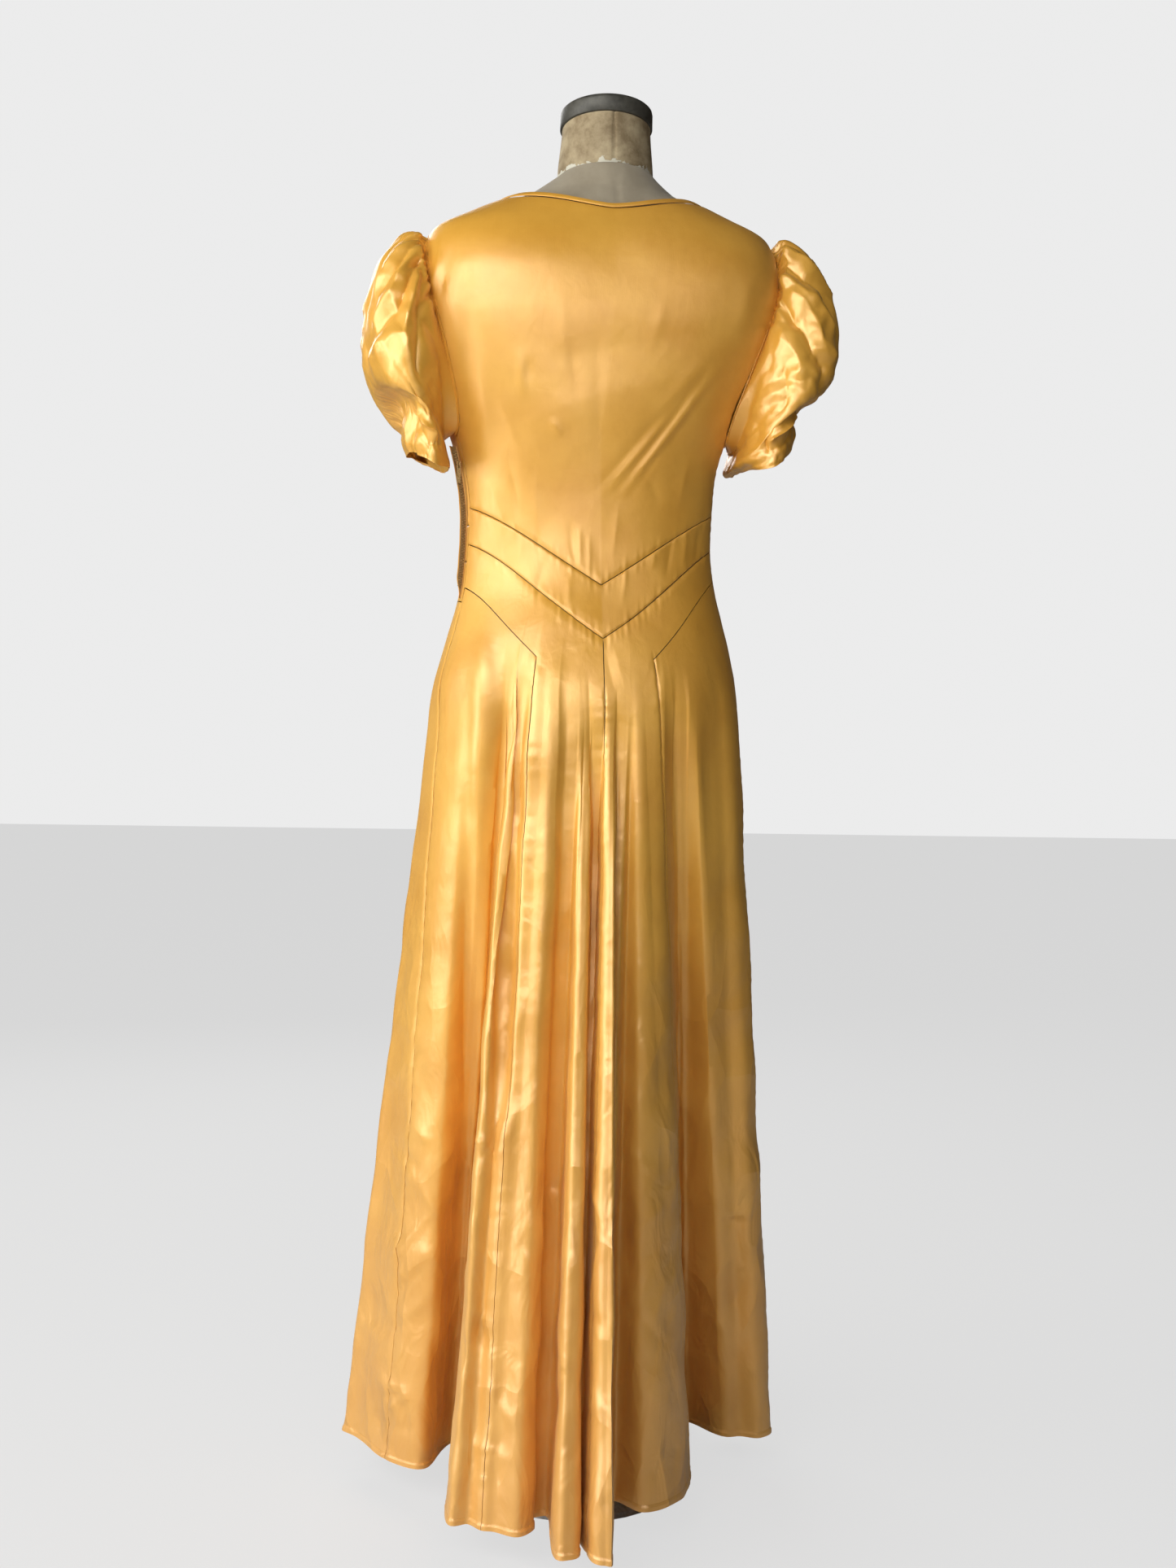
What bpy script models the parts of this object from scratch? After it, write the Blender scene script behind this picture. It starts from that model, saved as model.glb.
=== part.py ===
"""Satin evening gown on a limbless dress form, as solids.

Metres, +Z up. The gown's back faces -Y and its wearer's right side is +X. The origin is the
centre of the underside of the form's stand. Angles round the body are in degrees, 0 at the
centre back (-Y), 90 at the wearer's right side (+X) and 180 at the centre front (+Y).
"""
import bpy
import bmesh
import numpy as np

for old_object in list(bpy.data.objects):
    bpy.data.objects.remove(old_object, do_unlink=True)

# Colours
GOLD_SATIN = (0.80, 0.46, 0.10)
LINEN = (0.42, 0.37, 0.27)
CANVAS = (0.52, 0.38, 0.20)
GREY_METAL = (0.18, 0.19, 0.19)
BRASS = (0.62, 0.50, 0.28)

# Cloth
WALL = 0.0015
SEAM_GAP = 0.0003
REST_GAP = 0.0010
FORM_INSET = 0.0020
SHOULDER_INSET = 0.0006
HIP_INSET = 0.0120
HIP_INSET_FROM, HIP_INSET_FULL = 0.95, 0.80

# Heights of the gown
HEM_HEIGHT = 0.046
LEVEL_ROWS = (0.885, 0.82, 0.73, 0.61, 0.47, 0.32, 0.17, HEM_HEIGHT)
BACK_NECK_HEIGHT = 1.462
FRONT_NECK_HEIGHT = 1.400
NECK_POINT_HEIGHT = 1.483
SHOULDER_TIP_HEIGHT = 1.437
UNDERARM_HEIGHT = 1.213

# Seams round the body, in degrees
SIDE_SEAM = 82.0
BACK_CENTRE = -1.0
BACK_LEFT_GORE = -35.0
BACK_RIGHT_GORE = 26.0
FRONT_GORE = 31.0
ARMHOLE_BACK_WIDTH = 13.0
ARMHOLE_FRONT_WIDTH = 22.0

# Grid of the bodice and bands: the back and the front have the same columns
BAND_COLUMNS = 25
BODICE_ROWS = 13
LOWER_BAND_ROWS = 2
BODICE_SIDE_SHARE = 3 / 12
SHOULDER_COLUMNS = 5
SHOULDER_SHARE = SHOULDER_COLUMNS / (BAND_COLUMNS - 1)

# Pointed band seams: height at the centre and rise for each metre out from the centre
UPPER_SEAM = {"centre": 1.035, "rise": 0.68, "ring": 1.08}
MIDDLE_SEAM = {"centre": 0.974, "rise": 0.79, "ring": 1.03}
LOWER_SEAM = {"corner": 0.952, "rise": 0.97, "ring": 0.99, "centre": 0.915}
FRONT_SEAM_DROP = 0.021

# The body under the cloth, a row for each level section
BODY_COLUMNS = ("height", "half_width", "back", "front", "squareness", "ease", "centre_x")
BODY = (
    (0.755, 0.1280, 0.085, 0.085, 2.1, 0.0040, -0.003),
    (0.775, 0.1600, 0.108, 0.102, 2.2, 0.0040, -0.003),
    (0.820, 0.1710, 0.118, 0.110, 2.2, 0.0040, -0.003),
    (0.880, 0.1710, 0.124, 0.114, 2.2, 0.0040, -0.003),
    (0.930, 0.1670, 0.120, 0.116, 2.2, 0.0040, -0.004),
    (0.980, 0.1560, 0.106, 0.112, 2.2, 0.0040, -0.004),
    (1.030, 0.1430, 0.090, 0.104, 2.2, 0.0040, -0.004),
    (1.080, 0.1375, 0.082, 0.098, 2.2, 0.0040, -0.005),
    (1.130, 0.1380, 0.083, 0.100, 2.2, 0.0040, -0.005),
    (1.195, 0.1475, 0.091, 0.112, 2.3, 0.0040, -0.007),
    (1.240, 0.1630, 0.097, 0.122, 2.5, 0.0040, -0.005),
    (1.290, 0.1830, 0.102, 0.128, 2.7, 0.0035, -0.002),
    (1.350, 0.2000, 0.105, 0.118, 2.9, 0.0030, 0.001),
    (1.400, 0.2040, 0.102, 0.096, 2.9, 0.0020, 0.003),
    (1.430, 0.2000, 0.094, 0.082, 2.6, 0.0010, 0.003),
    (1.447, 0.1890, 0.086, 0.074, 2.4, 0.0005, 0.003),
    (1.462, 0.1600, 0.079, 0.068, 2.2, 0.0000, 0.003),
    (1.478, 0.1260, 0.071, 0.062, 2.0, 0.0000, 0.003),
    (1.495, 0.0860, 0.063, 0.056, 2.0, 0.0000, 0.005),
    (1.510, 0.0620, 0.058, 0.052, 2.0, 0.0000, 0.007),
    (1.530, 0.0555, 0.054, 0.052, 2.0, 0.0000, 0.008),
)
SHOULDER_TILT = 0.022
TILT_FROM, TILT_TO = 1.15, 1.38

# The skirt's folds, round from the left side over the back and the front. "hip" is the angle
# at the hip, "start" the height where the fold begins, "x" and "y" its place at the hem, and
# "width" how broad a ridge's rounded edge or a valley's rounded floor is there.
FOLD_COLUMNS = ("hip", "start", "x", "y", "width")
SKIRT_FOLDS = {
    "left_side_ridge": (-98, 0.96, -0.264, 0.095, 0.050),
    "left_side_seam": (-SIDE_SEAM, 0.885, -0.222, -0.010, 0),
    "left_back_ridge": (-64, 0.93, -0.182, -0.046, 0),
    "left_back_valley": (-49, 0.87, -0.139, 0.030, 0.018),
    "left_gore_ridge": (-43, 0.94, -0.171, -0.194, 0),
    "left_gore_dip": (-39, 0.84, -0.150, -0.212, 0),
    "left_gore_seam": (BACK_LEFT_GORE, 0.94, -0.139, -0.230, 0),
    "left_centre_ridge": (-27, 0.93, -0.104, -0.252, 0.040),
    "left_centre_valley": (-15.5, 0.88, -0.074, -0.200, 0.022),
    "back_ridge_a": (-9.5, 0.84, -0.062, -0.316, 0.024),
    "back_crease": (-4.5, 0.74, -0.0455, -0.266, 0.008),
    "centre_back_seam": (BACK_CENTRE, 0.86, -0.0405, -0.300, 0),
    "back_ridge_b": (2.5, 0.87, -0.029, -0.334, 0.019),
    "right_centre_valley": (7.5, 0.87, -0.013, -0.205, 0.012),
    "back_ridge_c": (15, 0.90, 0.036, -0.204, 0.064),
    "right_gore_seam": (BACK_RIGHT_GORE, 0.93, 0.106, -0.122, 0),
    "right_gore_valley": (37, 0.90, 0.147, 0.072, 0.018),
    "right_ridge_d": (45, 0.86, 0.180, 0.018, 0),
    "right_dent": (57, 0.95, 0.199, 0.014, 0),
    "right_ridge_e": (70, 0.88, 0.221, 0.004, 0),
    "right_side_seam": (SIDE_SEAM, 0.885, 0.240, 0.032, 0),
    "right_side_valley": (96, 0.90, 0.206, 0.100, 0),
    "right_front_ridge": (109, 0.92, 0.222, 0.178, 0.040),
    "right_front_valley": (121, 0.86, 0.154, 0.152, 0.022),
    "right_front_fold": (134, 0.88, 0.142, 0.256, 0.046),
    "front_gore_seam_right": (180 - FRONT_GORE, 0.88, 0.090, 0.178, 0.020),
    "front_ridge_right": (163, 0.87, 0.054, 0.284, 0.050),
    "front_valley": (180, 0.84, 0.004, 0.184, 0.024),
    "front_ridge_left": (190, 0.88, -0.048, 0.286, 0.046),
    "front_gore_seam_left": (180 + FRONT_GORE, 0.86, -0.094, 0.180, 0.018),
    "left_front_fold": (225, 0.90, -0.150, 0.258, 0.050),
    "left_front_valley": (239, 0.87, -0.166, 0.160, 0.020),
    "left_front_ridge": (250, 0.92, -0.226, 0.176, 0.036),
}
SKIRT_FLARE = 0.14
SHORT_STRETCH = 0.032
EDGE_SHARE = 0.34
EDGE_DEPTH = 0.9

# The sleeve, a row for each ring from the seam to the hem. "out" and "drop" run from the
# shoulder tip to the ring's outer point, "clear" is the inner point's distance from the
# bodice, "back" and "front" are the ring's depths, "sag" and "front_sag" how far its back and
# its front hang below its middle, "turn" how many degrees its sides lean outward so that the
# cloth's grid runs square to the ring above, "gather" the height of the head's gathers and
# "tuck" of the tuck's.
SLEEVE_COLUMNS = ("out", "drop", "inner", "clear", "back", "front", "sag", "front_sag",
                  "turn", "gather", "tuck")
SLEEVE_RINGS = (
    (0.014, -0.008, 1.2060, 0.012, 0.067, 0.071, 0.000, 0.000, 0, 0.0014, 0.0),
    (0.030, -0.002, 1.2055, 0.013, 0.076, 0.077, 0.000, 0.000, 0, 0.0022, 0.0),
    (0.048, 0.018, 1.2050, 0.014, 0.084, 0.082, 0.000, 0.000, 0, 0.0018, 0.0),
    (0.064, 0.052, 1.2040, 0.015, 0.089, 0.086, 0.000, 0.000, 0, 0.0010, 0.0),
    (0.072, 0.092, 1.2025, 0.015, 0.093, 0.088, -0.003, -0.002, 0, 0.0, 0.0),
    (0.073, 0.135, 1.2010, 0.015, 0.094, 0.088, -0.006, 0.000, 2, 0.0, 0.0),
    (0.060, 0.174, 1.1965, 0.015, 0.091, 0.086, -0.006, 0.003, 5, 0.0, 0.0004),
    (0.032, 0.186, 1.1860, 0.015, 0.084, 0.081, -0.001, 0.008, 11, 0.0, 0.0010),
    (0.024, 0.202, 1.1785, 0.015, 0.079, 0.077, 0.003, 0.009, 14, 0.0, 0.0010),
    (0.025, 0.226, 1.1715, 0.015, 0.080, 0.075, 0.008, 0.006, 15, 0.0, 0.0),
    (0.019, 0.250, 1.1655, 0.016, 0.078, 0.071, 0.020, 0.003, 16, 0.0, 0.0),
)
SLEEVES = {
    "sleeve_left": {"side": -1, "spread": 1.0, "lift": 0.000},
    "sleeve_right": {"side": 1, "spread": 1.13, "lift": 0.009},
}
HEAD_GATHERS = 20
HEAD_ANGLE = 100.0
TUCK_ANGLE = 40.0
UNDERARM_COLUMNS = 10
SLEEVE_SEAM_LIFT = 0.0028
SEAM_GATHER = 0.0006

# Large folds of the sleeve, each a soft ridge or trough along a line from one ring and angle
# to another. Angles are 0 at the outer side, 90 at the back and -90 at the front.
SLEEVE_FOLD_COLUMNS = ("ring_from", "angle_from", "ring_to", "angle_to", "height", "half_width")
SLEEVE_FOLDS = {
    "sleeve_left": (
        (0.6, 66, 5.2, 12, 0.008, 1.0),
        (1.6, 84, 4.2, 52, -0.009, 1.1),
        (5.0, 40, 6.2, 80, 0.004, 1.2),
        (9.2, 30, 10.4, 62, -0.005, 0.9),
        (0.8, -40, 4.6, -14, 0.006, 1.0),
        (1.6, -76, 4.8, -44, -0.007, 1.1),
        (9.0, -34, 10.2, -62, -0.002, 0.9),
    ),
    "sleeve_right": (
        (0.8, 34, 3.6, 8, 0.008, 0.9),
        (1.2, 62, 5.0, 24, 0.007, 0.9),
        (1.8, 48, 4.4, 24, -0.007, 0.9),
        (9.0, 30, 10.0, 68, -0.006, 1.0),
        (0.8, -36, 4.2, -12, 0.006, 1.0),
        (1.8, -70, 4.8, -42, -0.007, 1.1),
    ),
}
FOLD_ANGLE_UNIT = 14.0

# Neck edge and its binding
NECK_SCOOP = 1.6
NECK_EDGE_DROP = 0.0035
BINDING_WIDTH = 0.006
BINDING_WALL = 0.0019

# Side placket with its zip, on the wearer's left side
PLACKET_TOP = 1.198
PLACKET_BOTTOM = 1.022
PLACKET_WIDTH = 0.009
PLACKET_ANGLE = -84.5
CHAIN_WIDTH = 0.0044
CHAIN_DEPTH = 0.0014
SLIDER_HEIGHT = 1.176
SLIDER_SIZE = (0.0060, 0.0026, 0.0090)
BRIDGE_WIRE = 0.0010
BRIDGE_CLEAR = 0.0026
TAB_WIDTH = 0.0046
TAB_LENGTH = 0.0210
TAB_THICKNESS = 0.0008
TAB_BAR = 0.0009
TAB_HOLE = (0.0022, 0.0042)

# Dress form
FORM_SIDES = 30
FORM_HEIGHTS = (0.757, 0.766, 0.785, 0.82, 0.87, 0.92, 0.97, 1.02, 1.08, 1.14, 1.20, 1.26, 1.31,
                1.355, 1.395, 1.425, 1.443, 1.456, 1.468, 1.481, 1.494)
NECK_JOIN = 1.512
NECK_TOP = 1.572
NECK_RADIUS_LOW = 0.0555
NECK_RADIUS_TOP = 0.0510
NECK_CENTRE_X = 0.008
NECK_TILT = 0.12
CAP_RADIUS = 0.0535
CAP_HEIGHT = 0.0200
CAP_CROWN = 0.0090
POLE_RADIUS = 0.014
BASE_PROFILE = (
    (0.0, 0.030), (0.022, 0.030), (0.026, 0.024), (0.060, 0.018),
    (0.096, 0.011), (0.104, 0.006), (0.105, 0.0), (0.0, 0.0),
)
TURNED_STEPS = 32

COLLECTION = bpy.data.collections.new("evening_gown_on_dress_form")
bpy.context.scene.collection.children.link(COLLECTION)


def finish(name, colour, roughness, metallic=0.0):
    material = bpy.data.materials.new(name)
    material.use_nodes = True
    shader = material.node_tree.nodes["Principled BSDF"]
    shader.inputs["Base Color"].default_value = (*colour, 1.0)
    shader.inputs["Roughness"].default_value = roughness
    shader.inputs["Metallic"].default_value = metallic
    return material


def place(mesh, name, colour, roughness, metallic=0.0):
    """Put a mesh in the gown's collection as one named, coloured object."""
    thing = bpy.data.objects.new(name, mesh)
    COLLECTION.objects.link(thing)
    mesh.materials.append(finish(name, colour, roughness, metallic))
    mesh.shade_smooth()
    mesh.set_sharp_from_angle(angle=np.radians(40))
    return thing


def soft_step(low, high, value):
    t = np.clip((value - low) / (high - low), 0.0, 1.0)
    return t * t * (3 - 2 * t)


def smooth_column(heights, values, z):
    """Read a table column at any height, along a smooth curve through its rows."""
    z = np.clip(z, heights[0], heights[-1])
    low = np.clip(np.searchsorted(heights, z) - 1, 0, len(heights) - 2)
    slopes = np.gradient(values, heights)
    step = heights[low + 1] - heights[low]
    t = (z - heights[low]) / step
    return ((2 * t**3 - 3 * t**2 + 1) * values[low] + (t**3 - 2 * t**2 + t) * step * slopes[low]
            + (3 * t**2 - 2 * t**3) * values[low + 1] + (t**3 - t**2) * step * slopes[low + 1])


BODY_TABLE = dict(zip(BODY_COLUMNS, np.array(BODY).T))


def body_size(column, z):
    return smooth_column(BODY_TABLE["height"], BODY_TABLE[column], z)


def body_point(angle, z):
    """A point of the body's surface: a level section is a rounded, slightly square oval."""
    angle, z = np.broadcast_arrays(np.radians(np.asarray(angle, float)), np.asarray(z, float))
    depth = np.where(np.cos(angle) > 0, body_size("back", z), body_size("front", z))
    power = body_size("squareness", z)
    across = np.abs(np.sin(angle) / body_size("half_width", z)) ** power
    along = np.abs(np.cos(angle) / depth) ** power
    radius = (across + along) ** (-1 / power)
    x = radius * np.sin(angle)
    tilt = SHOULDER_TILT * x * soft_step(TILT_FROM, TILT_TO, z)
    return np.stack([x + body_size("centre_x", z), -radius * np.cos(angle), z + tilt], -1)


def unit(vectors):
    return vectors / np.linalg.norm(vectors, axis=-1, keepdims=True)


def body_normal(angle, z):
    angle, z = np.broadcast_arrays(np.asarray(angle, float), np.asarray(z, float))
    round_way = body_point(angle + 0.06, z) - body_point(angle - 0.06, z)
    up_way = body_point(angle, z + 0.001) - body_point(angle, z - 0.001)
    return unit(np.cross(round_way, up_way))


def cloth_point(angle, z):
    """The middle of the cloth wall where it lies round the body."""
    lift = body_size("ease", np.asarray(z, float)) + REST_GAP + WALL / 2
    return body_point(angle, z) + body_normal(angle, z) * lift[..., None]


def across_from_centre(angle, ring, centre):
    x = body_point(angle, ring)[..., 0]
    return np.abs(x - body_point(centre, ring)[..., 0])


def panel_angles(front):
    """The bodice's and the bands' columns, evenly spaced on each side of the centre."""
    left, centre, right = -SIDE_SEAM, BACK_CENTRE, SIDE_SEAM
    if front:
        left, centre, right = SIDE_SEAM, 180.0, 360.0 - SIDE_SEAM
    half = BAND_COLUMNS // 2
    return np.concatenate([np.linspace(left, centre, half + 1)[:-1],
                           np.linspace(centre, right, half + 1)])


def seam_height(seam, angle, front):
    """Height of a pointed band seam where it crosses an angle, on the back or the front.

    It runs straight between the band's columns, so that panels with more columns meet it.
    """
    columns = panel_angles(front)
    angle = np.asarray(angle, float)
    if front:
        angle = angle % 360.0
    return np.interp(angle, columns, curved_seam(seam, columns, front))


def curved_seam(seam, angle, front):
    centre = 180.0 if front else BACK_CENTRE
    drop = FRONT_SEAM_DROP if front else 0.0
    out = across_from_centre(angle, seam["ring"], centre)
    if "corner" not in seam:
        return seam["centre"] - drop + seam["rise"] * out
    left, right = (180 - FRONT_GORE, 180 + FRONT_GORE) if front else (BACK_LEFT_GORE, BACK_RIGHT_GORE)
    corner = np.where(wrapped(angle - centre) < 0,
                      across_from_centre(left, seam["ring"], centre),
                      across_from_centre(right, seam["ring"], centre))
    inside = seam["centre"] + (seam["corner"] - seam["centre"]) * out / corner
    outside = seam["corner"] + seam["rise"] * (out - corner)
    return np.where(out < corner, inside, outside) - drop


def wrapped(angle):
    return (np.asarray(angle, float) + 180.0) % 360.0 - 180.0


def fold_controls():
    """The hem's control points: one for a plain point, three round a ridge or a valley."""
    controls = []
    rows = [dict(zip(FOLD_COLUMNS, row), name=name) for name, row in SKIRT_FOLDS.items()]
    count = len(rows)
    places = np.array([(row["x"], row["y"]) for row in rows])
    hips = np.array([row["hip"] for row in rows])
    gaps = (np.roll(hips, -1) - hips) % 360.0
    for index, row in enumerate(rows):
        if not row["width"]:
            controls.append((row["name"], row["hip"], row["start"], *places[index]))
            continue
        ahead, behind = places[(index + 1) % count], places[index - 1]
        inward = unit((ahead + behind) / 2 - places[index])
        round_way = np.array([inward[1], -inward[0]])
        round_way *= np.sign(np.dot(round_way, ahead - behind))
        half = row["width"] / 2
        edges = ((-1, gaps[index - 1], "_before"), (0, 0.0, ""), (1, gaps[index], "_after"))
        for side, gap, ending in edges:
            point = places[index] + half * (side * round_way + abs(side) * EDGE_DEPTH * inward)
            hip = row["hip"] + side * EDGE_SHARE * gap
            controls.append((row["name"] + ending, hip, row["start"], *point))
    return controls


FOLD_CONTROLS = fold_controls()
CONTROL_COUNT = len(FOLD_CONTROLS)
CONTROL_VALUES = np.array([control[1:] for control in FOLD_CONTROLS])


def control_at(index):
    """Control values at a whole position that may run past either end of the ring."""
    turns, inside = np.divmod(index, CONTROL_COUNT)
    values = CONTROL_VALUES[inside].copy()
    values[..., 0] += 360.0 * turns
    return values


def fold_reading(position):
    """Hip angle, start height and hem place at any position round the skirt."""
    position = np.asarray(position, float)
    low = np.floor(position).astype(int)
    t = (position - low)[..., None]
    before, here, after, beyond = (control_at(low + step) for step in (-1, 0, 1, 2))
    curve = 0.5 * (2 * here + (after - before) * t
                   + (2 * before - 5 * here + 4 * after - beyond) * t**2
                   + (3 * here - before - 3 * after + beyond) * t**3)
    line = here + (after - here) * t
    return line[..., 0], line[..., 1], curve[..., 2:4]


def seam_position(name):
    return [control[0] for control in FOLD_CONTROLS].index(name)


def skirt_point(position, z):
    """The middle of the skirt's cloth: the hip's section, flaring into folds below it."""
    position, z = np.broadcast_arrays(np.asarray(position, float), np.asarray(z, float))
    hip, start, hem = fold_reading(position)
    waist = cloth_point(hip, np.maximum(z, LEVEL_ROWS[0]))
    flare = 1 + SKIRT_FLARE * np.maximum(LEVEL_ROWS[0] - z, 0.0)
    plain = waist[..., :2] * flare[..., None]
    plain_hem = cloth_point(hip, np.full_like(z, LEVEL_ROWS[0]))[..., :2]
    plain_hem = plain_hem * (1 + SKIRT_FLARE * (LEVEL_ROWS[0] - HEM_HEIGHT))
    share = np.clip((start - z) / (start - HEM_HEIGHT), 0.0, 1.0)
    level = plain + (hem - plain_hem) * share[..., None]
    height = np.where(z > LEVEL_ROWS[0], waist[..., 2], z)
    return np.concatenate([level, height[..., None]], -1)


def skirt_normal(position, z):
    position, z = np.broadcast_arrays(np.asarray(position, float), np.asarray(z, float))
    round_way = skirt_point(position + 0.02, z) - skirt_point(position - 0.02, z)
    up_way = skirt_point(position, z + 0.004) - skirt_point(position, z - 0.004)
    return unit(np.cross(round_way, up_way))


def wall(name, middle, normals, thickness=WALL, faces=None, ring=False, inset=SEAM_GAP / 2,
         colour=GOLD_SATIN, roughness=0.35):
    """A cloth wall round a grid of middle points, with a rim drawn in from each seam.

    A Solidify modifier would tilt each rim by its own panel's edge faces, and neighbours
    would meet, so both skins are offset here along the normals that the panels share.
    """
    rows, columns = middle.shape[:2]
    spans = columns if ring else columns - 1
    if faces is None:
        faces = np.ones((rows - 1, spans), bool)
    quads = [((i, j), (i, (j + 1) % columns), (i + 1, (j + 1) % columns), (i + 1, j))
             for i in range(rows - 1) for j in range(spans) if faces[i, j]]
    edge_owner = {}
    for quad in quads:
        for start, end in zip(quad, quad[1:] + quad[:1]):
            edge_owner[(start, end)] = quad
    border = [edge for edge in edge_owner if edge[::-1] not in edge_owner]
    inward = {}
    for start, end in border:
        along = unit(middle[end] - middle[start])
        centre = np.mean([middle[corner] for corner in edge_owner[(start, end)]], axis=0)
        for corner in (start, end):
            side = np.cross(normals[corner], along)
            side = unit(side) * np.sign(np.dot(side, centre - middle[start]))
            inward.setdefault(corner, []).append(side)
    moved = {}
    for corner, sides in inward.items():
        total = np.sum(sides, axis=0)
        moved[corner] = total * inset / max(0.4, 1 + np.dot(sides[0], sides[-1]))
    mesh = bmesh.new()
    outer, inner = {}, {}
    for corner in sorted({corner for quad in quads for corner in quad}):
        point = middle[corner] + moved.get(corner, 0.0)
        outer[corner] = mesh.verts.new(point + normals[corner] * thickness / 2)
        inner[corner] = mesh.verts.new(point - normals[corner] * thickness / 2)
    for quad in quads:
        a, b, c, d = quad
        short_way = np.linalg.norm(middle[a] - middle[c]) <= np.linalg.norm(middle[b] - middle[d])
        halves = ((a, b, c), (a, c, d)) if short_way else ((a, b, d), (b, c, d))
        for half in halves:
            mesh.faces.new([outer[corner] for corner in half])
            mesh.faces.new([inner[corner] for corner in reversed(half)])
    for start, end in border:
        low, high = min(start, end), max(start, end)
        mesh.faces.new([outer[end], outer[start], inner[high]])
        mesh.faces.new([inner[start], inner[end], outer[low]])
    bmesh.ops.recalc_face_normals(mesh, faces=mesh.faces)
    data = bpy.data.meshes.new(name)
    mesh.to_mesh(data)
    mesh.free()
    return place(data, name, colour, roughness)


def armhole(phase, side):
    """Angle and height of an armhole's seam. Phase 0 is the shoulder tip, 90 the back."""
    phase = np.radians(np.asarray(phase, float))
    middle = (SHOULDER_TIP_HEIGHT + UNDERARM_HEIGHT) / 2
    z = middle + (SHOULDER_TIP_HEIGHT - UNDERARM_HEIGHT) / 2 * np.cos(phase)
    mean = (90.0 + SIDE_SEAM) / 2 + (90.0 - SIDE_SEAM) / 2 * np.cos(phase)
    width = np.where(np.sin(phase) > 0, ARMHOLE_BACK_WIDTH, ARMHOLE_FRONT_WIDTH)
    return np.stack([side * (mean - width * np.sin(phase)), z], -1)


def stitched_line(stretches):
    """One line through several stretches, each (share of the line, function of 0 to 1)."""
    shares = np.cumsum([0.0] + [share for share, _ in stretches])

    def line(t):
        t = np.atleast_1d(np.asarray(t, float))
        result = np.zeros((len(t), 2))
        for (start, end), (_, stretch) in zip(zip(shares, shares[1:]), stretches):
            here = (t >= start - 1e-9) & (t <= end + 1e-9)
            result[here] = stretch(np.clip((t[here] - start) / (end - start), 0, 1))
        return result
    return line


def straight(start, end):
    start, end = np.array(start, float), np.array(end, float)
    return lambda t: start + (end - start) * np.asarray(t)[..., None]


def bodice_side(side, front):
    """The bodice's edge, up the side seam and round its half of the armhole."""
    turn = -1 if front else 1
    edge = side * SIDE_SEAM % 360.0 if front else side * SIDE_SEAM
    low = seam_height(UPPER_SEAM, edge, front)

    def round_armhole(t):
        return armhole(turn * 180.0 * (1 - t), side)
    return stitched_line([(BODICE_SIDE_SHARE, straight((side * SIDE_SEAM, low),
                                                       (side * SIDE_SEAM, UNDERARM_HEIGHT))),
                          (1 - BODICE_SIDE_SHARE, round_armhole)])


def neckline(t, front):
    """The neck edge across the back or the front, between the two neck points."""
    angle = 90.0 * (2 * np.asarray(t, float) - 1)
    low = FRONT_NECK_HEIGHT if front else BACK_NECK_HEIGHT
    rise = np.abs(np.sin(np.radians(angle))) ** NECK_SCOOP
    return np.stack([angle + (180.0 if front else 0.0), low + (NECK_POINT_HEIGHT - low) * rise],
                    -1)


def binding_drop(points, amount):
    """Move a neck edge down the cloth by the binding's width."""
    lowered = points.copy()
    lowered[:, 1] -= amount
    return lowered


def bodice_top(front, base):
    """Shoulder seam, neck edge and shoulder seam, from left to right of the panel."""
    left, right = (base, base + 180.0)
    neck = NECK_POINT_HEIGHT - NECK_EDGE_DROP
    return stitched_line([
        (SHOULDER_SHARE, straight((left, SHOULDER_TIP_HEIGHT), (left, neck))),
        (1 - 2 * SHOULDER_SHARE, lambda t: binding_drop(neckline(t, front), NECK_EDGE_DROP)),
        (SHOULDER_SHARE, straight((right, neck), (right, SHOULDER_TIP_HEIGHT)))])


def bodice_grid(front):
    """Angles and heights of a bodice panel, filled in between its four edges."""
    u = np.linspace(0, 1, BAND_COLUMNS)
    v = np.linspace(0, 1, BODICE_ROWS)
    base = 90.0 if front else -90.0
    sides = (bodice_side(1, True), bodice_side(-1, True))
    turns = (0.0, 360.0)
    if not front:
        sides = (bodice_side(-1, False), bodice_side(1, False))
        turns = (0.0, 0.0)
    angles = panel_angles(front)
    bottom = np.stack([angles, seam_height(UPPER_SEAM, angles, front)], -1)
    top = bodice_top(front, base)(u)
    left, right = sides[0](v), sides[1](v)
    left[:, 0] += turns[0]
    right[:, 0] += turns[1]
    low = (1 - v)[:, None, None] * bottom + v[:, None, None] * top
    wide = (1 - u)[None, :, None] * left[:, None] + u[None, :, None] * right[:, None]
    corners = ((1 - v)[:, None, None] * ((1 - u)[None, :, None] * bottom[0]
                                         + u[None, :, None] * bottom[-1])
               + v[:, None, None] * ((1 - u)[None, :, None] * top[0]
                                     + u[None, :, None] * top[-1]))
    return low + wide - corners


def make_bodices():
    for name, front in (("bodice_back", False), ("bodice_front", True)):
        grid = bodice_grid(front)
        angle, z = grid[..., 0], grid[..., 1]
        wall(name, cloth_point(angle, z), body_normal(angle, z))


def make_upper_bands():
    for name, front in (("upper_band_back", False), ("upper_band_front", True)):
        angles = panel_angles(front)
        top = seam_height(UPPER_SEAM, angles, front)
        bottom = seam_height(MIDDLE_SEAM, angles, front)
        z = np.array([bottom, (bottom + top) / 2, top])
        angle = np.broadcast_to(angles, z.shape)
        wall(name, cloth_point(angle, z), body_normal(angle, z))


def skirt_positions(first, last):
    """Column positions: one to each short stretch of a rounded edge, two to a long one."""
    positions = []
    for control in range(first, last):
        here, after = control_at(np.array([control, control + 1]))
        short = np.linalg.norm(after[2:4] - here[2:4]) < SHORT_STRETCH
        positions += [control] if short else [control, control + 0.5]
    return np.array(positions + [last], float)


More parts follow.
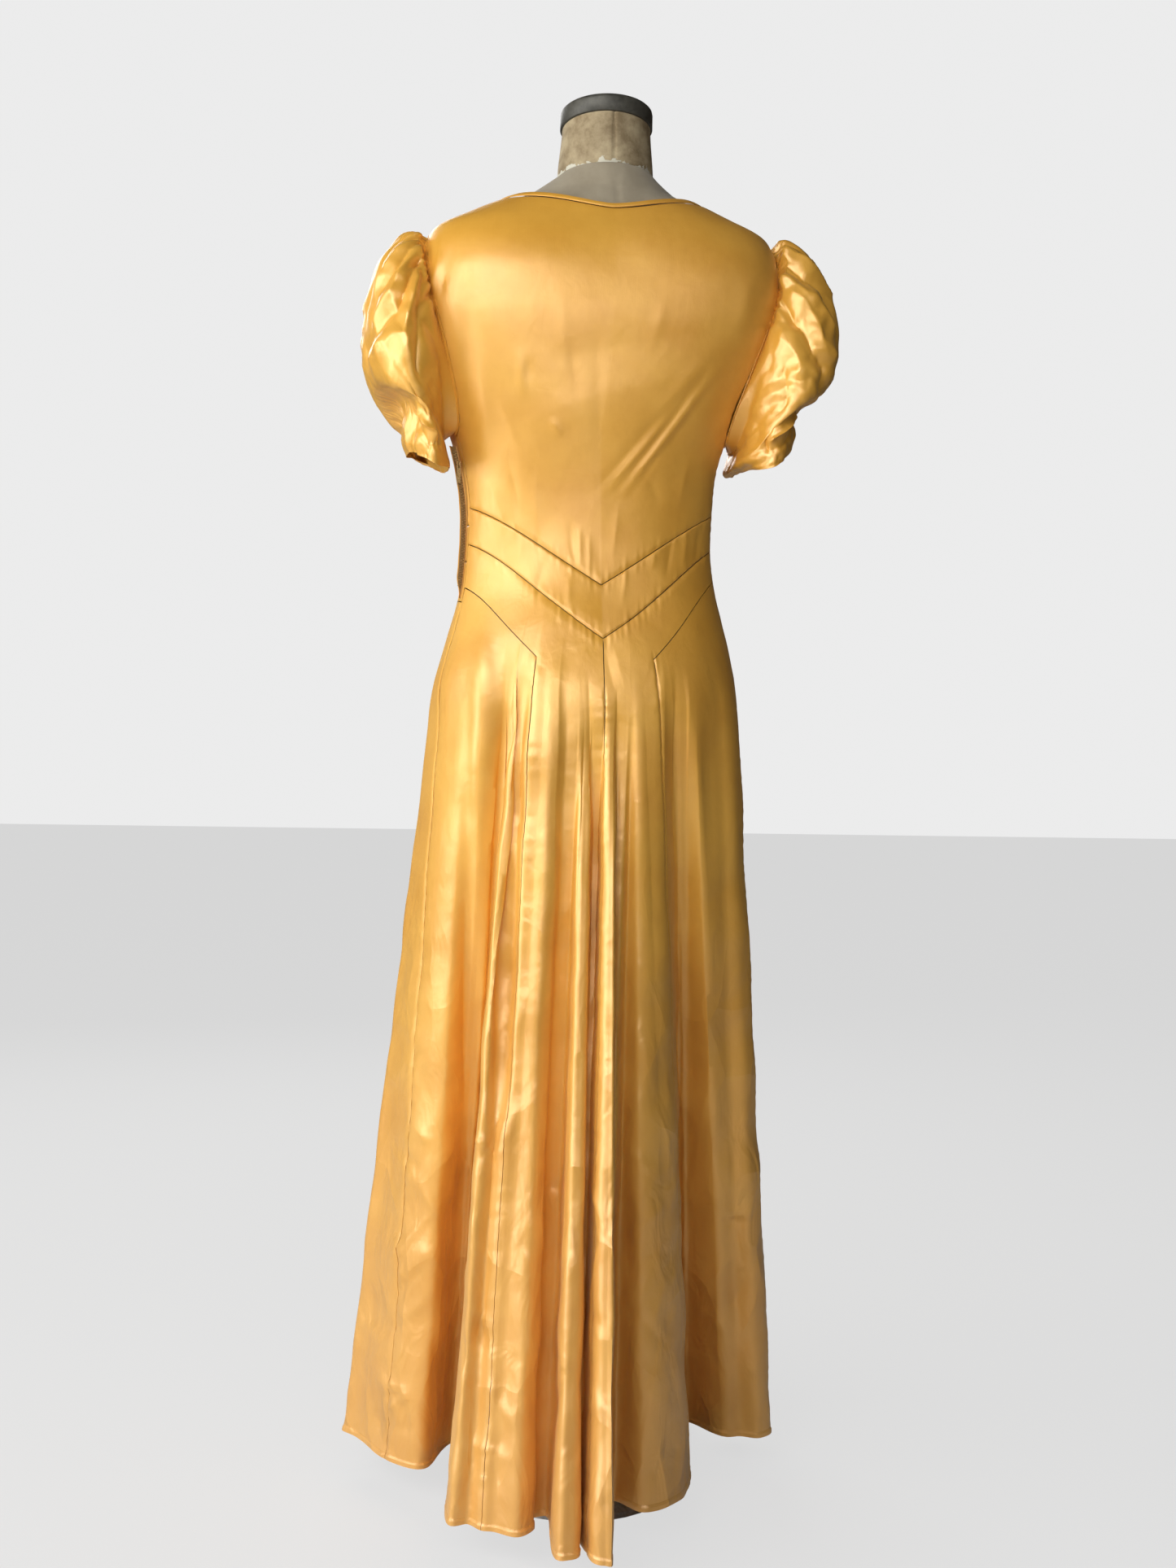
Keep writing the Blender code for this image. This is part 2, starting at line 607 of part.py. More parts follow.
def skirt_grid(first, last, front):
    """Positions and heights of a stretch of skirt, from the middle seam to the hem."""
    position = skirt_positions(first, last)
    columns = len(position)
    hip = fold_reading(position)[0]
    middle = seam_height(MIDDLE_SEAM, hip, front)
    lower = seam_height(LOWER_SEAM, hip, front)
    heights = [middle + (lower - middle) * row / LOWER_BAND_ROWS
               for row in range(LOWER_BAND_ROWS + 1)]
    heights.append((lower + LEVEL_ROWS[0]) / 2)
    heights += [np.full(columns, level) for level in LEVEL_ROWS]
    z = np.array(heights[::-1])
    return np.broadcast_to(position, z.shape), z


def make_skirt():
    """Gores round the skirt. A centre gore carries the lower band out to the side seam."""
    left_side = seam_position("left_side_seam")
    left_gore = seam_position("left_gore_seam")
    centre = seam_position("centre_back_seam")
    right_gore = seam_position("right_gore_seam")
    right_side = seam_position("right_side_seam")
    front_right = seam_position("front_gore_seam_right")
    front_left = seam_position("front_gore_seam_left")
    round_again = left_side + CONTROL_COUNT
    plain_gores = (
        ("back_gore_side_left", left_side, left_gore, False),
        ("back_gore_side_right", right_gore, right_side, False),
        ("front_gore_side_right", right_side, front_right, True),
        ("front_gore_side_left", front_left, round_again, True),
    )
    for name, first, last, front in plain_gores:
        position, z = skirt_grid(first, last, front)
        position, z = position[:-LOWER_BAND_ROWS], z[:-LOWER_BAND_ROWS]
        wall(name, skirt_point(position, z), skirt_normal(position, z))
    banded_gores = (
        ("back_gore_centre_left", left_side, centre, (left_gore, centre), False),
        ("back_gore_centre_right", centre, right_side, (centre, right_gore), False),
        ("front_gore_centre", right_side, round_again, (front_right, front_left), True),
    )
    for name, first, last, (gore_from, gore_to), front in banded_gores:
        position, z = skirt_grid(first, last, front)
        faces = np.zeros((position.shape[0] - 1, position.shape[1] - 1), bool)
        faces[-LOWER_BAND_ROWS:] = True
        columns = position[0, :-1]
        faces[:, (columns >= gore_from) & (columns < gore_to)] = True
        wall(name, skirt_point(position, z), skirt_normal(position, z), faces=faces)


def sleeve_phases():
    """Angles round the sleeve: two columns to a gather over the head, wider below."""
    head = np.linspace(-HEAD_ANGLE, HEAD_ANGLE, 2 * HEAD_GATHERS + 1)
    under = np.linspace(HEAD_ANGLE, 360.0 - HEAD_ANGLE, UNDERARM_COLUMNS + 1)[1:-1]
    return np.concatenate([head, under])


def sleeve_middle(side, spread, lift):
    """The sleeve's rings, with no gathers yet: the armhole first, the hem last."""
    phases = sleeve_phases()
    seam = armhole(phases, side)
    angle, z = seam[:, 0], seam[:, 1]
    rings = [cloth_point(angle, z) + body_normal(angle, z) * SLEEVE_SEAM_LIFT]
    tip = cloth_point(side * 90.0, SHOULDER_TIP_HEIGHT)
    for row in SLEEVE_RINGS:
        size = dict(zip(SLEEVE_COLUMNS, row))
        leant = np.radians(phases - size["turn"] * np.sin(np.radians(phases)))
        cosine, sine = np.cos(leant), np.sin(leant)
        outer = tip + np.array([side * size["out"] * spread, 0.0, lift - size["drop"]])
        inner = cloth_point(side * 88.0, size["inner"]) + np.array([side * size["clear"], 0, 0])
        depth = np.where(sine > 0, -size["back"], -size["front"]) * sine
        sag = np.where(sine > 0, size["sag"], size["front_sag"]) * sine**2
        ring = ((outer + inner) / 2 + (outer - inner) / 2 * cosine[:, None]
                + np.outer(depth, (0, 1, 0)) - np.outer(sag, (0, 0, 1)))
        rings.append(ring)
    return np.array(rings), phases


def grid_normals(points, ring, outward):
    """Normals of a grid of points, with the sign that makes them face outward."""
    if ring:
        round_way = np.roll(points, -1, axis=1) - np.roll(points, 1, axis=1)
    else:
        round_way = np.gradient(points, axis=1)
    normals = unit(np.cross(round_way, np.gradient(points, axis=0)))
    return normals * outward


def fold_lift(folds, ring, phase):
    """Height of the sleeve's large folds at a ring and an angle."""
    total = np.zeros(np.broadcast(ring, phase).shape)
    for row in folds:
        fold = dict(zip(SLEEVE_FOLD_COLUMNS, row))
        start = np.array([fold["ring_from"], fold["angle_from"] / FOLD_ANGLE_UNIT])
        end = np.array([fold["ring_to"], fold["angle_to"] / FOLD_ANGLE_UNIT])
        along = end - start
        offset = np.stack([ring - start[0], phase / FOLD_ANGLE_UNIT - start[1]], -1)
        share = np.clip(offset @ along / (along @ along), 0, 1)
        distance = np.linalg.norm(offset - share[..., None] * along, axis=-1)
        total = total + fold["height"] * np.exp(-(distance / fold["half_width"]) ** 2)
    return total


def make_sleeves():
    gathers = np.array([SEAM_GATHER] + [row[SLEEVE_COLUMNS.index("gather")] for row in SLEEVE_RINGS])
    tucks = np.array([0.0] + [row[SLEEVE_COLUMNS.index("tuck")] for row in SLEEVE_RINGS])
    for name, sleeve in SLEEVES.items():
        middle, phases = sleeve_middle(**sleeve)
        outward = grid_normals(middle, True, -sleeve["side"])
        ring, phase = np.meshgrid(np.arange(len(middle)), wrapped(phases), indexing="ij")
        zigzag = np.where(np.arange(len(phases)) % 2, 1.0, -1.0)
        head = soft_step(HEAD_ANGLE + 1, HEAD_ANGLE - 25, np.abs(phase))
        tuck = soft_step(TUCK_ANGLE, TUCK_ANGLE - 15, np.abs(phase))
        ripple = zigzag * (gathers[:, None] * head + tucks[:, None] * tuck)
        lift = ripple + fold_lift(SLEEVE_FOLDS[name], ring, phase)
        middle = middle + outward * lift[..., None]
        wall(name, middle, grid_normals(middle, True, -sleeve["side"]), ring=True, inset=0.0)


def make_neck_binding():
    """A narrow bound edge that stands on the neck edge all the way round."""
    count = BAND_COLUMNS - 1 - 2 * SHOULDER_COLUMNS
    back = neckline(np.arange(count) / count, False)
    front = neckline(np.arange(count) / count, True)
    edge = np.concatenate([back, front])
    low = binding_drop(edge, NECK_EDGE_DROP)
    high = binding_drop(edge, NECK_EDGE_DROP - BINDING_WIDTH)
    grid = np.array([low, high])
    angle, z = grid[..., 0], grid[..., 1]
    lift = body_normal(angle, z) * (BINDING_WALL - WALL) / 2
    wall("neck_binding", cloth_point(angle, z) + lift, body_normal(angle, z),
         thickness=BINDING_WALL, ring=True)


def placket_line(z):
    """Foot of the placket on the cloth's outer face, and its way outward."""
    z = np.asarray(z, float)
    outward = body_normal(PLACKET_ANGLE, z)
    outward[..., 2] = 0.0
    outward = unit(outward)
    foot = cloth_point(PLACKET_ANGLE, z) + outward * (WALL / 2 + SEAM_GAP)
    return foot, outward


def make_placket():
    """The front edge of the side opening, standing out past the back with the zip on it."""
    z = np.linspace(PLACKET_BOTTOM, PLACKET_TOP, 9)
    foot, outward = placket_line(z)
    share = np.linspace(0, 1, 3)
    middle = foot[:, None] + outward[:, None] * (share[None, :, None] * PLACKET_WIDTH)
    taper = soft_step(0, 0.16, np.linspace(0, 1, len(z))) * 0.75 + 0.25
    middle = foot[:, None] + (middle - foot[:, None]) * taper[:, None, None]
    up = np.array([0.0, 0.0, 1.0])
    back_way = unit(np.cross(outward, up))
    back_way = back_way * np.sign(-back_way[..., 1:2])
    normals = np.repeat(back_way[:, None], len(share), axis=1)
    wall("side_placket", middle, normals, inset=0.0)
    chain_z = np.linspace(PLACKET_BOTTOM + 0.012, PLACKET_TOP - 0.004, 7)
    foot, outward = placket_line(chain_z)
    back_way = unit(np.cross(outward, up))
    back_way = back_way * np.sign(-back_way[..., 1:2])
    behind = WALL / 2 + SEAM_GAP + CHAIN_DEPTH / 2
    centre = foot + outward * (PLACKET_WIDTH * 0.48) + back_way * behind
    middle = np.stack([centre - outward * CHAIN_WIDTH / 2, centre + outward * CHAIN_WIDTH / 2], 1)
    wall("zip_chain", middle, np.repeat(back_way[:, None], 2, axis=1), thickness=CHAIN_DEPTH,
         inset=0.0, colour=BRASS, roughness=0.4)


def slider_frame():
    """Centre of the slider's seat on the chain, its way outward and its way back."""
    foot, outward = placket_line(SLIDER_HEIGHT)
    back_way = unit(np.cross(outward, (0.0, 0.0, 1.0)))
    back_way = back_way * np.sign(-back_way[1])
    seat = foot + outward * (PLACKET_WIDTH * 0.48)
    seat = seat + back_way * (WALL / 2 + SEAM_GAP + CHAIN_DEPTH + SEAM_GAP)
    return seat, outward, back_way


def flat_plate(name, outline, holes, thickness):
    """A flat plate from a drawn outline: x to the right, y up, its thickness along z."""
    curve = bpy.data.curves.new(name, "CURVE")
    curve.dimensions = "2D"
    curve.fill_mode = "BOTH"
    curve.extrude = thickness / 2
    for loop in [outline] + holes:
        spline = curve.splines.new("POLY")
        spline.points.add(len(loop) - 1)
        for point, (x, y) in zip(spline.points, loop):
            point.co = (x, y, 0.0, 1.0)
        spline.use_cyclic_u = True
    drawn = bpy.data.objects.new(name + "_drawn", curve)
    COLLECTION.objects.link(drawn)
    bpy.context.view_layer.update()
    graph = bpy.context.evaluated_depsgraph_get()
    mesh = bpy.data.meshes.new_from_object(drawn.evaluated_get(graph))
    bpy.data.objects.remove(drawn, do_unlink=True)
    shape = bmesh.new()
    shape.from_mesh(mesh)
    bmesh.ops.remove_doubles(shape, verts=shape.verts, dist=0.00001)
    bmesh.ops.recalc_face_normals(shape, faces=shape.faces)
    shape.to_mesh(mesh)
    shape.free()
    return mesh


def set_in_frame(mesh, origin, across, up, out):
    """Carry a mesh drawn in x, y, z to axes that stand in the room."""
    axes = np.array([across, up, out])
    for vertex in mesh.vertices:
        vertex.co = origin + np.array(vertex.co) @ axes


def rounded_tab_outline():
    half = TAB_WIDTH / 2
    arc = np.radians(np.linspace(180, 360, 9))
    foot = [(half * np.cos(a), -TAB_LENGTH + half + half * np.sin(a)) for a in arc]
    top = TAB_BAR / 2
    return foot + [(half, top), (-half, top)]


def make_zip_slider():
    """The slider's body and the bridge that its pull tab hangs on, one solid."""
    seat, outward, back_way = slider_frame()
    up = np.array([0.0, 0.0, 1.0])
    width, depth, height = SLIDER_SIZE
    reach = depth + BRIDGE_CLEAR + BRIDGE_WIRE
    half = height * 0.28
    outline = [(0.0, -height / 2), (depth, -height / 2), (depth, -half - BRIDGE_WIRE)]
    outline += [(depth + BRIDGE_CLEAR * 0.6, -half - BRIDGE_WIRE), (reach, -half * 0.7),
                (reach, half * 0.7), (depth + BRIDGE_CLEAR * 0.6, half + BRIDGE_WIRE)]
    outline += [(depth, half + BRIDGE_WIRE), (depth, height / 2), (0.0, height / 2)]
    inner = reach - BRIDGE_WIRE
    eye = [(depth + 0.0002, -half), (depth + BRIDGE_CLEAR * 0.5, -half),
           (inner, -half * 0.6), (inner, half * 0.6),
           (depth + BRIDGE_CLEAR * 0.5, half), (depth + 0.0002, half)]
    body = bmesh.new()
    bmesh.ops.create_cube(body, size=1.0)
    bmesh.ops.scale(body, vec=(depth, height, width), verts=body.verts)
    bmesh.ops.translate(body, vec=(depth / 2, 0, 0), verts=body.verts)
    bmesh.ops.bevel(body, geom=body.edges[:], offset=0.0005, segments=1, affect="EDGES")
    block = bpy.data.meshes.new("zip_slider_block")
    body.to_mesh(block)
    body.free()
    bridge = flat_plate("zip_bridge", outline, [eye], BRIDGE_WIRE)
    slider = place(block, "zip_slider", BRASS, 0.35, 0.9)
    cutter = bpy.data.objects.new("zip_bridge_guide", bridge)
    COLLECTION.objects.link(cutter)
    union = slider.modifiers.new("bridge", "BOOLEAN")
    union.operation = "UNION"
    union.solver = "EXACT"
    union.object = cutter
    bpy.context.view_layer.update()
    graph = bpy.context.evaluated_depsgraph_get()
    joined = bpy.data.meshes.new_from_object(slider.evaluated_get(graph))
    slider.modifiers.clear()
    bpy.data.objects.remove(cutter, do_unlink=True)
    slider.data = joined
    set_in_frame(joined, seat, back_way, up, np.cross(back_way, up))


def make_zip_pull_tab():
    """The tab hangs on the slider's bridge and turns about its own top bar."""
    seat, outward, back_way = slider_frame()
    up = np.array([0.0, 0.0, 1.0])
    hole_width, hole_height = TAB_HOLE
    low = -TAB_BAR / 2 - hole_height
    hole = [(-hole_width / 2, low), (hole_width / 2, low),
            (hole_width / 2, -TAB_BAR / 2), (-hole_width / 2, -TAB_BAR / 2)]
    mesh = flat_plate("zip_pull_tab", rounded_tab_outline(), [hole], TAB_THICKNESS)
    pivot = seat + back_way * (SLIDER_SIZE[1] + BRIDGE_CLEAR / 2)
    across = np.cross(up, back_way)
    set_in_frame(mesh, pivot, across, up, back_way)
    place(mesh, "zip_pull_tab", BRASS, 0.3, 0.9)


def loft(name, rings, colour, roughness, metallic=0.0):
    """A closed solid through level rings, with a flat face at each end."""
    mesh = bmesh.new()
    layers = [[mesh.verts.new(point) for point in ring] for ring in rings]
    for low, high in zip(layers, layers[1:]):
        for index in range(len(low)):
            after = (index + 1) % len(low)
            mesh.faces.new([low[index], low[after], high[after], high[index]])
    mesh.faces.new(layers[0][::-1])
    mesh.faces.new(layers[-1])
    bmesh.ops.recalc_face_normals(mesh, faces=mesh.faces)
    data = bpy.data.meshes.new(name)
    mesh.to_mesh(data)
    mesh.free()
    return place(data, name, colour, roughness, metallic)


def neck_ring(radius, height, angles):
    """A ring of the neck, its plane tipped forward so that the back stands higher."""
    angle = np.radians(angles)
    y = -radius * np.cos(angle)
    return np.stack([NECK_CENTRE_X + radius * np.sin(angle), y, height - NECK_TILT * y], -1)


def make_form():
    angles = np.arange(FORM_SIDES) * 360.0 / FORM_SIDES
    rings = []
    for z in FORM_HEIGHTS:
        inset = (FORM_INSET + SHOULDER_INSET * soft_step(1.36, 1.40, z)
                 + HIP_INSET * soft_step(HIP_INSET_FROM, HIP_INSET_FULL, z))
        rings.append(body_point(angles, z) - body_normal(angles, z) * inset)
    rings[0][:, 2] = FORM_HEIGHTS[0]
    rings.append(neck_ring(NECK_RADIUS_LOW + 0.002, NECK_JOIN - SEAM_GAP, angles))
    loft("form_torso", rings, LINEN, 0.9)
    neck = [neck_ring(NECK_RADIUS_LOW, NECK_JOIN, angles),
            neck_ring(NECK_RADIUS_LOW - 0.002, NECK_JOIN + 0.02, angles),
            neck_ring(NECK_RADIUS_TOP + 0.0005, NECK_JOIN + 0.042, angles),
            neck_ring(NECK_RADIUS_TOP, NECK_TOP, angles)]
    loft("form_neck", neck, CANVAS, 0.8)
    base = NECK_TOP + SEAM_GAP
    cap = [neck_ring(CAP_RADIUS, base, angles),
           neck_ring(CAP_RADIUS, base + CAP_HEIGHT * 0.85, angles),
           neck_ring(CAP_RADIUS - 0.003, base + CAP_HEIGHT, angles),
           neck_ring(CAP_RADIUS * 0.6, base + CAP_HEIGHT + CAP_CROWN * 0.7, angles),
           neck_ring(CAP_RADIUS * 0.2, base + CAP_HEIGHT + CAP_CROWN, angles)]
    loft("form_neck_cap", cap, GREY_METAL, 0.5, 0.7)


def make_stand():
    top = FORM_HEIGHTS[0] - SEAM_GAP
    foot = BASE_PROFILE[0][1] + SEAM_GAP
    pole = bmesh.new()
    bmesh.ops.create_cone(pole, cap_ends=True, segments=24, radius1=POLE_RADIUS,
                          radius2=POLE_RADIUS, depth=top - foot)
    bmesh.ops.translate(pole, vec=(0, 0, (top + foot) / 2), verts=pole.verts)
    data = bpy.data.meshes.new("form_pole")
    pole.to_mesh(data)
    pole.free()
    place(data, "form_pole", GREY_METAL, 0.4, 0.9)
    profile = bpy.data.meshes.new("form_base")
    points = [(radius, 0.0, height) for radius, height in BASE_PROFILE]
    edges = [(index, index + 1) for index in range(len(points) - 1)]
    profile.from_pydata(points, edges, [])
    base = place(profile, "form_base", GREY_METAL, 0.5, 0.9)
    screw = base.modifiers.new("turned", "SCREW")
    screw.steps = screw.render_steps = TURNED_STEPS
    screw.use_merge_vertices = True
    screw.merge_threshold = 0.00001


make_form()
make_stand()
make_bodices()
make_upper_bands()
make_skirt()
make_sleeves()
make_neck_binding()
make_placket()
make_zip_slider()
make_zip_pull_tab()
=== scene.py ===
"""Golden satin evening gown on a limbless dress form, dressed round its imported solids.

Metres, +Z up. The gown's back faces -Y and its wearer's right side is +X. Angles round the
body are in degrees, 0 at the centre back, 90 at the wearer's right and 180 at the front.
"""

import bpy
import numpy as np
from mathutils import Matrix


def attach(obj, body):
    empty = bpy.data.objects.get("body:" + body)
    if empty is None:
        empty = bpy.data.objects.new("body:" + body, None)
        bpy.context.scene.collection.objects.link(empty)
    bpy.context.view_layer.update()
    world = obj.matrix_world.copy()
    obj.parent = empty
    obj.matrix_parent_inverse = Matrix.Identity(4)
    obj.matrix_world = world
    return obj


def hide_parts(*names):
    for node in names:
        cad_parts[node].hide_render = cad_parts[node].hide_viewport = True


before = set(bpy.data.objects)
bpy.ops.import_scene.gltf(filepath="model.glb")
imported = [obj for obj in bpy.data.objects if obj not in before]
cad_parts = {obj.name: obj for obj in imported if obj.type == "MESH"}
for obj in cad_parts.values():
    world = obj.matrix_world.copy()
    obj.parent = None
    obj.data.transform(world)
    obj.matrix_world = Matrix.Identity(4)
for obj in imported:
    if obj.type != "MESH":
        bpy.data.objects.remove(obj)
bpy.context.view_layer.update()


# Camera. It stands level behind the gown, a little towards the wearer's left side, at the
# height of the skirt's top, and leans one degree.
CAMERA_DISTANCE = 2.20
CAMERA_HEIGHT = 0.815
CAMERA_TURN = np.radians(-10.0)
CAMERA_LEAN = np.radians(1.0)
SENSOR_HEIGHT, FOCAL_LENGTH = 36.0, 43.57
lens = bpy.data.cameras.new("gown_camera")
lens.sensor_fit = "VERTICAL"
lens.sensor_height = SENSOR_HEIGHT
lens.lens = FOCAL_LENGTH


def into_scene(name, data):
    thing = bpy.data.objects.new(name, data)
    bpy.context.scene.collection.objects.link(thing)
    return thing


camera = into_scene("gown_camera", lens)
camera.location = (np.sin(CAMERA_TURN) * CAMERA_DISTANCE,
                   -np.cos(CAMERA_TURN) * CAMERA_DISTANCE, CAMERA_HEIGHT)
camera.rotation_euler = (np.radians(90), -CAMERA_LEAN, CAMERA_TURN)
bpy.context.scene.camera = camera
bpy.context.scene.view_settings.view_transform = "Standard"


# Studio. A plain pale floor, and soft light: a wide window at the photograph's upper left, a
# lower one behind the camera, a pale wall at the left and a lamp on the far side. The room is
# dim overhead, and warm and dark towards the right.
FLOOR_REACH, FLOOR_DROP, FLOOR_GLOW = 30.0, 0.0005, 0.80
BACKDROP = {"Color": (0.93, 0.93, 0.93, 1.0), "Strength": 0.9}
AIM = (0.0, 0.0, 0.95)
STUDIO_LIGHTS = {
    "window_light": {"at": (-2.2, -2.6, 2.55), "size": (3.2, 1.2), "power": 106.0},
    "second_window": {"at": (-0.1, -3.0, 1.85), "size": (2.4, 0.9), "power": 19.0},
    "wall_light": {"at": (-3.2, -0.7, 1.2), "size": (1.6, 1.8), "power": 62.0},
    "back_light": {"at": (-0.6, 3.0, 2.6), "size": (2.4, 1.2), "power": 52.0},
}


def add_node(tree, kind, **settings):
    """A node with its settings; a name that is a socket's is set on the socket."""
    node = tree.nodes.new("ShaderNode" + kind)
    for name, value in settings.items():
        if hasattr(node, name):
            setattr(node, name, value)
        else:
            node.inputs[name.replace("_", " ")].default_value = value
    return node


def ramp(tree, *stops):
    """A run between two colours, each given as (position, colour)."""
    node = add_node(tree, "ValToRGB")
    for element, (position, colour) in zip(node.color_ramp.elements, stops):
        element.position, element.color = position, (*colour, 1.0)
    return node


def join(tree, *links):
    """Link nodes; each link names a node, its output, the next node and its input."""
    for start, output, end, entry in links:
        tree.links.new(start.outputs[output], end.inputs[entry])


def new_finish(name, **settings):
    """A material with its nodes, its shader and its output."""
    material = bpy.data.materials.new(name)
    material.use_nodes = True
    tree = material.node_tree
    tree.nodes.clear()
    shader = add_node(tree, "BsdfPrincipled", **settings)
    join(tree, (shader, "BSDF", add_node(tree, "OutputMaterial"), "Surface"))
    return material, tree, shader


floor_finish, tree, paper = new_finish("studio_floor_paper", Roughness=0.9,
                                       Base_Color=(0.60, 0.60, 0.59, 1.0))
glow = add_node(tree, "Emission", **BACKDROP)
seen = add_node(tree, "LightPath")
share = add_node(tree, "Math", operation="MULTIPLY")
share.inputs[1].default_value = FLOOR_GLOW
blend = add_node(tree, "MixShader")
join(tree, (seen, "Is Camera Ray", share, 0), (share, "Value", blend, "Fac"),
     (paper, "BSDF", blend, 1), (glow, "Emission", blend, 2),
     (blend, "Shader", tree.nodes["Material Output"], "Surface"))
floor_mesh = bpy.data.meshes.new("studio_floor")
floor_mesh.from_pydata([(x * FLOOR_REACH, y * FLOOR_REACH, -FLOOR_DROP)
                        for x, y in ((-1, -1), (1, -1), (1, 1), (-1, 1))], [], [(0, 1, 2, 3)])
floor_mesh.materials.append(floor_finish)
into_scene("studio_floor", floor_mesh)

room = bpy.data.worlds.new("pale_room")
room.use_nodes = True
tree = room.node_tree
room_light = tree.nodes["Background"]
heading = add_node(tree, "TexCoord")
parts = add_node(tree, "SeparateXYZ")
ceiling = ramp(tree, (0.02, (1.0, 0.99, 0.97)), (0.55, (0.17, 0.14, 0.10)))
to_right = add_node(tree, "MapRange", From_Min=-0.3, From_Max=0.7)
wood = add_node(tree, "Mix", data_type="RGBA", blend_type="MULTIPLY", B=(1.0, 0.60, 0.32, 1.0))
dim_side = add_node(tree, "MapRange", From_Min=-1.0, From_Max=1.0, To_Min=0.17, To_Max=0.02)
seen = add_node(tree, "LightPath")
backdrop = add_node(tree, "Background", **BACKDROP)
choice = add_node(tree, "MixShader")
join(tree, (heading, "Generated", parts, "Vector"), (parts, "Z", ceiling, "Fac"),
     (parts, "X", to_right, "Value"), (to_right, "Result", wood, "Factor"),
     (ceiling, "Color", wood, "A"), (wood, "Result", room_light, "Color"),
     (parts, "X", dim_side, "Value"), (dim_side, "Result", room_light, "Strength"),
     (seen, "Is Camera Ray", choice, "Fac"), (room_light, "Background", choice, 1),
     (backdrop, "Background", choice, 2),
     (choice, "Shader", tree.nodes["World Output"], "Surface"))
bpy.context.scene.world = room

for name, lamp in STUDIO_LIGHTS.items():
    light = bpy.data.lights.new(name, "AREA")
    light.shape = "RECTANGLE"
    light.size, light.size_y = lamp["size"]
    light.energy = lamp["power"]
    way = np.array(AIM) - np.array(lamp["at"])
    turn = np.arctan2(way[1], way[0]) - np.pi / 2
    tip = np.arctan2(np.hypot(way[0], way[1]), -way[2])
    light_object = into_scene(name, light)
    light_object.location = lamp["at"]
    light_object.rotation_euler = (tip, 0.0, turn)


# Dress form's torso. A padded body covered in greyish linen, with a seam down the centre
# back. The gown is cut to this body's sections.
BODY_COLUMNS = ("height", "half_width", "back", "front", "squareness", "ease", "centre_x")
BODY = (
    (0.755, 0.1280, 0.085, 0.085, 2.1, 0.0040, -0.003),
    (0.775, 0.1600, 0.108, 0.102, 2.2, 0.0040, -0.003),
    (0.820, 0.1710, 0.118, 0.110, 2.2, 0.0040, -0.003),
    (0.880, 0.1710, 0.124, 0.114, 2.2, 0.0040, -0.003),
    (0.930, 0.1670, 0.120, 0.116, 2.2, 0.0040, -0.004),
    (0.980, 0.1560, 0.106, 0.112, 2.2, 0.0040, -0.004),
    (1.030, 0.1430, 0.090, 0.104, 2.2, 0.0040, -0.004),
    (1.080, 0.1375, 0.082, 0.098, 2.2, 0.0040, -0.005),
    (1.130, 0.1380, 0.083, 0.100, 2.2, 0.0040, -0.005),
    (1.195, 0.1475, 0.091, 0.112, 2.3, 0.0040, -0.007),
    (1.240, 0.1630, 0.097, 0.122, 2.5, 0.0040, -0.005),
    (1.290, 0.1830, 0.102, 0.128, 2.7, 0.0035, -0.002),
    (1.350, 0.2000, 0.105, 0.118, 2.9, 0.0030, 0.001),
    (1.400, 0.2040, 0.102, 0.096, 2.9, 0.0020, 0.003),
    (1.430, 0.2000, 0.094, 0.082, 2.6, 0.0010, 0.003),
    (1.447, 0.1890, 0.086, 0.074, 2.4, 0.0005, 0.003),
    (1.462, 0.1600, 0.079, 0.068, 2.2, 0.0000, 0.003),
    (1.478, 0.1260, 0.071, 0.062, 2.0, 0.0000, 0.003),
    (1.495, 0.0860, 0.063, 0.056, 2.0, 0.0000, 0.005),
    (1.510, 0.0620, 0.058, 0.052, 2.0, 0.0000, 0.007),
    (1.530, 0.0555, 0.054, 0.052, 2.0, 0.0000, 0.008),
)
BODY_TABLE = dict(zip(BODY_COLUMNS, np.array(BODY).T))
SHOULDER_TILT = 0.022
TILT_FROM, TILT_TO = 1.15, 1.38
SEAM_GAP = 0.0003
NORMAL_TURN, NORMAL_RISE = 0.06, 0.001


def soft_step(low, high, value):
    t = np.clip((value - low) / (high - low), 0.0, 1.0)
    return t * t * (3 - 2 * t)


def body_size(column, z):
    """Read a column of the body's table at any height, along a smooth curve."""
    heights, values = BODY_TABLE["height"], BODY_TABLE[column]
    z = np.clip(z, heights[0], heights[-1])
    low = np.clip(np.searchsorted(heights, z) - 1, 0, len(heights) - 2)
    slopes = np.gradient(values, heights)
    step = heights[low + 1] - heights[low]
    t = (z - heights[low]) / step
    return ((2 * t**3 - 3 * t**2 + 1) * values[low] + (t**3 - 2 * t**2 + t) * step * slopes[low]
            + (3 * t**2 - 2 * t**3) * values[low + 1] + (t**3 - t**2) * step * slopes[low + 1])


def body_point(angle, z):
    """A point of the body's surface: a level section is a rounded, slightly square oval."""
    angle, z = np.broadcast_arrays(np.radians(np.asarray(angle, float)), np.asarray(z, float))
    depth = np.where(np.cos(angle) > 0, body_size("back", z), body_size("front", z))
    power = body_size("squareness", z)
    across = np.abs(np.sin(angle) / body_size("half_width", z)) ** power
    along = np.abs(np.cos(angle) / depth) ** power
    radius = (across + along) ** (-1 / power)
    x = radius * np.sin(angle)
    tilt = SHOULDER_TILT * x * soft_step(TILT_FROM, TILT_TO, z)
    return np.stack([x + body_size("centre_x", z), -radius * np.cos(angle), z + tilt], -1)


def unit(vectors):
    return vectors / np.maximum(np.linalg.norm(vectors, axis=-1, keepdims=True), 1e-12)


